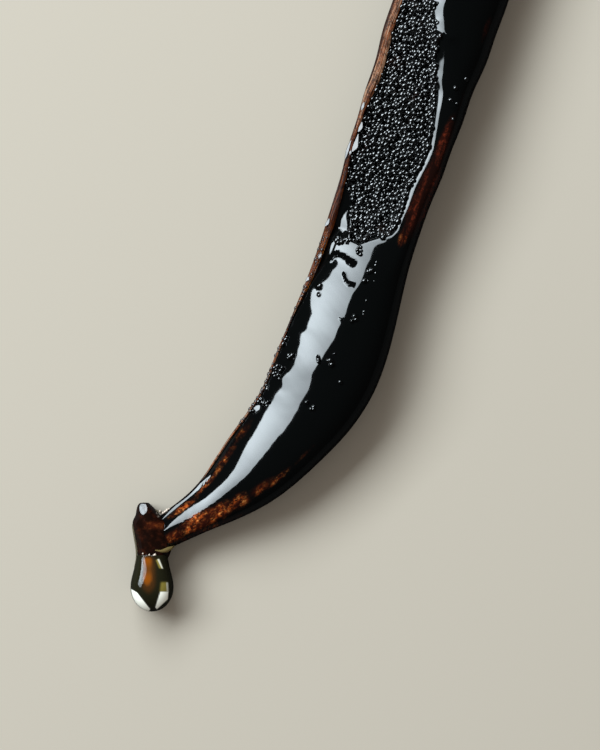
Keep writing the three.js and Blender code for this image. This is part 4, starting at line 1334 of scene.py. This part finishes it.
packSeeds = seedTree(seedFinish)
seedPieces = []
for number, (start, end) in enumerate(seed["ranges"]):
    layers = [grown(bedPatch(start, end, seed["lift"]), packSeeds, Seed=number)]
    if number == 0:
        layers.append(grown(bedPatch(start, end, seed["lowLift"]), packSeeds, Seed=20))
    seedPieces.append(addPiece("bedSeeds" + str(number + 1), joined(layers, "bedSeeds"), seedFinish))
loose = grown(loosePoints(), seedTree(seedFinish, loose=True))
seedPieces.append(addPiece("looseSeeds", loose, seedFinish))
print("seeds", [len(piece.data.polygons) for piece in seedPieces])

for piece, slot, nodes in [
    (podWall, "pod_skin", ["husk"]),
    (rimFibres, "pod_skin", ["husk"]),
    (rimFlakes, "dark_syrup", ["syrup"]),
    (rimDroplets, "dark_syrup", ["syrup"]),
    (stalkStub, "pod_skin", ["husk"]),
    (paintedFootGlints, "pod_skin", ["husk"]),
    (filmEdge, "amber_syrup", ["drop"]),
    (filmBridge, "amber_syrup", ["drop"]),
    (filmWeb, "amber_syrup", ["drop"]),
    (darkSyrup, "dark_syrup", ["syrup", "seed_bed"]),
    (amberDrop, "amber_syrup", ["drop"]),
] + [(piece, "seeds", ["seed_bed"]) for piece in seedPieces]:
    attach(piece, "root")
    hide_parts(*nodes)

# sizes of the floor and the softbox are in metres, the frame's are in mm
studio = {
    "floorSize": 1.6,
    "frameHeight": 48.75,
    "frameCentre": (-43.4, -0.9, 2.1),
    "upHeading": 24,
    "lens": 200,
    "sensor": 36,
    "boxAzimuth": 71,
    "boxElevation": 43,
    "boxDistance": 0.4,
    "boxWidth": 0.2,
    "boxLength": 0.58,
    "boxRadiance": 18.8,
    "boxColour": "ebf8ff",
    # across or along it: from where to where, and from how bright to how bright
    "boxFades": [
        ["X", 0.46, 0.68, 0.68, 1.0], ["X", 0.64, 0.87, 1.0, 0.6], ["X", 0.88, 0.93, 1.0, 0.0],
        ["Y", 0.05, 1.1, 1.0, 0.6],
    ],
    "worldColour": "f2efea",
    "worldFill": 0.42,  # what dull surfaces get
    "worldDim": 0.02,  # what glossy and clear ones mirror
    "worldSeen": 0.6,  # what the camera sees past the board
}


def buildFloor():
    size = studio["floorSize"]
    corners = [(-size, -size, 0), (size, -size, 0), (size, size, 0), (-size, size, 0)]
    mesh = bpy.data.meshes.new("floor")
    mesh.from_pydata(corners, [], [(0, 1, 2, 3)])
    addPiece("floor", mesh, newMaterial("paleBoard", paleBoard))


# one long softbox on the left
def buildSoftbox(centre):
    azimuth, elevation = math.radians(studio["boxAzimuth"]), math.radians(studio["boxElevation"])
    level = math.cos(elevation)
    towards = Vector((level * math.cos(azimuth), level * math.sin(azimuth), math.sin(elevation)))
    lamp = bpy.data.lights.new("softbox", "AREA")
    lamp.shape = "RECTANGLE"
    lamp.size, lamp.size_y = studio["boxLength"], studio["boxWidth"]
    lamp.energy = studio["boxRadiance"] * math.pi * lamp.size * lamp.size_y
    lamp.color = linear(studio["boxColour"])[:3]
    lamp.use_nodes = True
    tree = lamp.node_tree
    tree.nodes.clear()
    # dimmer towards its ends and its upper edge, as a softbox is away from its tube
    spot = addNode(tree, "ShaderNodeNewGeometry").outputs["Parametric"]
    spot = addNode(tree, "ShaderNodeSeparateXYZ", {}, spot)
    strength = 1.0
    for axis, *steps in studio["boxFades"]:
        fade = addNode(tree, "ShaderNodeMapRange", smoothly, spot.outputs[axis], *steps)
        strength = addNode(tree, "ShaderNodeMath", times, strength, fade)
    glow = addNode(tree, "ShaderNodeEmission", {}, Strength=strength)
    addNode(tree, "ShaderNodeOutputLight", {}, glow)
    holder = bpy.data.objects.new("softbox", lamp)
    holder.visible_camera = False
    holder.location = centre + towards * studio["boxDistance"]
    across = Vector((0, 0, 1)).cross(towards).normalized()
    turn = holder.rotation_euler.to_matrix()
    for k, axis in enumerate((across, towards.cross(across), towards)):
        turn.col[k] = axis
    holder.rotation_euler = turn.to_euler()
    bpy.context.scene.collection.objects.link(holder)


# soft fill all round; what mirrors or bends light sees a dark room
def buildRoom():
    world = bpy.data.worlds.new("room")
    bpy.context.scene.world = world
    world.use_nodes = True
    tree = world.node_tree
    tree.nodes.clear()
    rays = addNode(tree, "ShaderNodeLightPath").outputs
    sharp = addNode(tree, "ShaderNodeMath", larger, rays["Is Glossy Ray"], rays["Is Transmission Ray"])
    fill, dim, seen = studio["worldFill"], studio["worldDim"], studio["worldSeen"]
    strength = addNode(tree, "ShaderNodeMapRange", smoothly, sharp, 0.0, 1.0, fill, dim)
    strength = addNode(tree, "ShaderNodeMapRange", smoothly, rays["Is Camera Ray"], 0.0, 1.0, strength, seen)
    back = addNode(tree, "ShaderNodeBackground", {}, linear(studio["worldColour"]), strength)
    addNode(tree, "ShaderNodeOutputWorld", {}, back)


# the camera looks straight down
def buildCamera(centre):
    camera = bpy.data.cameras.new("camera")
    camera.lens, camera.sensor_width = studio["lens"], studio["sensor"]
    camera.clip_start = 0.01
    eye = bpy.data.objects.new("camera", camera)
    distance = studio["frameHeight"] * mm * camera.lens / camera.sensor_width
    eye.location = centre + Vector((0, 0, distance))
    eye.rotation_euler = (0, 0, math.radians(studio["upHeading"] - 90))
    bpy.context.scene.collection.objects.link(eye)
    bpy.context.scene.camera = eye
    bpy.context.scene.view_settings.view_transform = "Standard"


frameCentre = Vector(studio["frameCentre"]) * mm
buildFloor()
buildSoftbox(frameCentre)
buildRoom()
buildCamera(frameCentre)
print("studio ready")
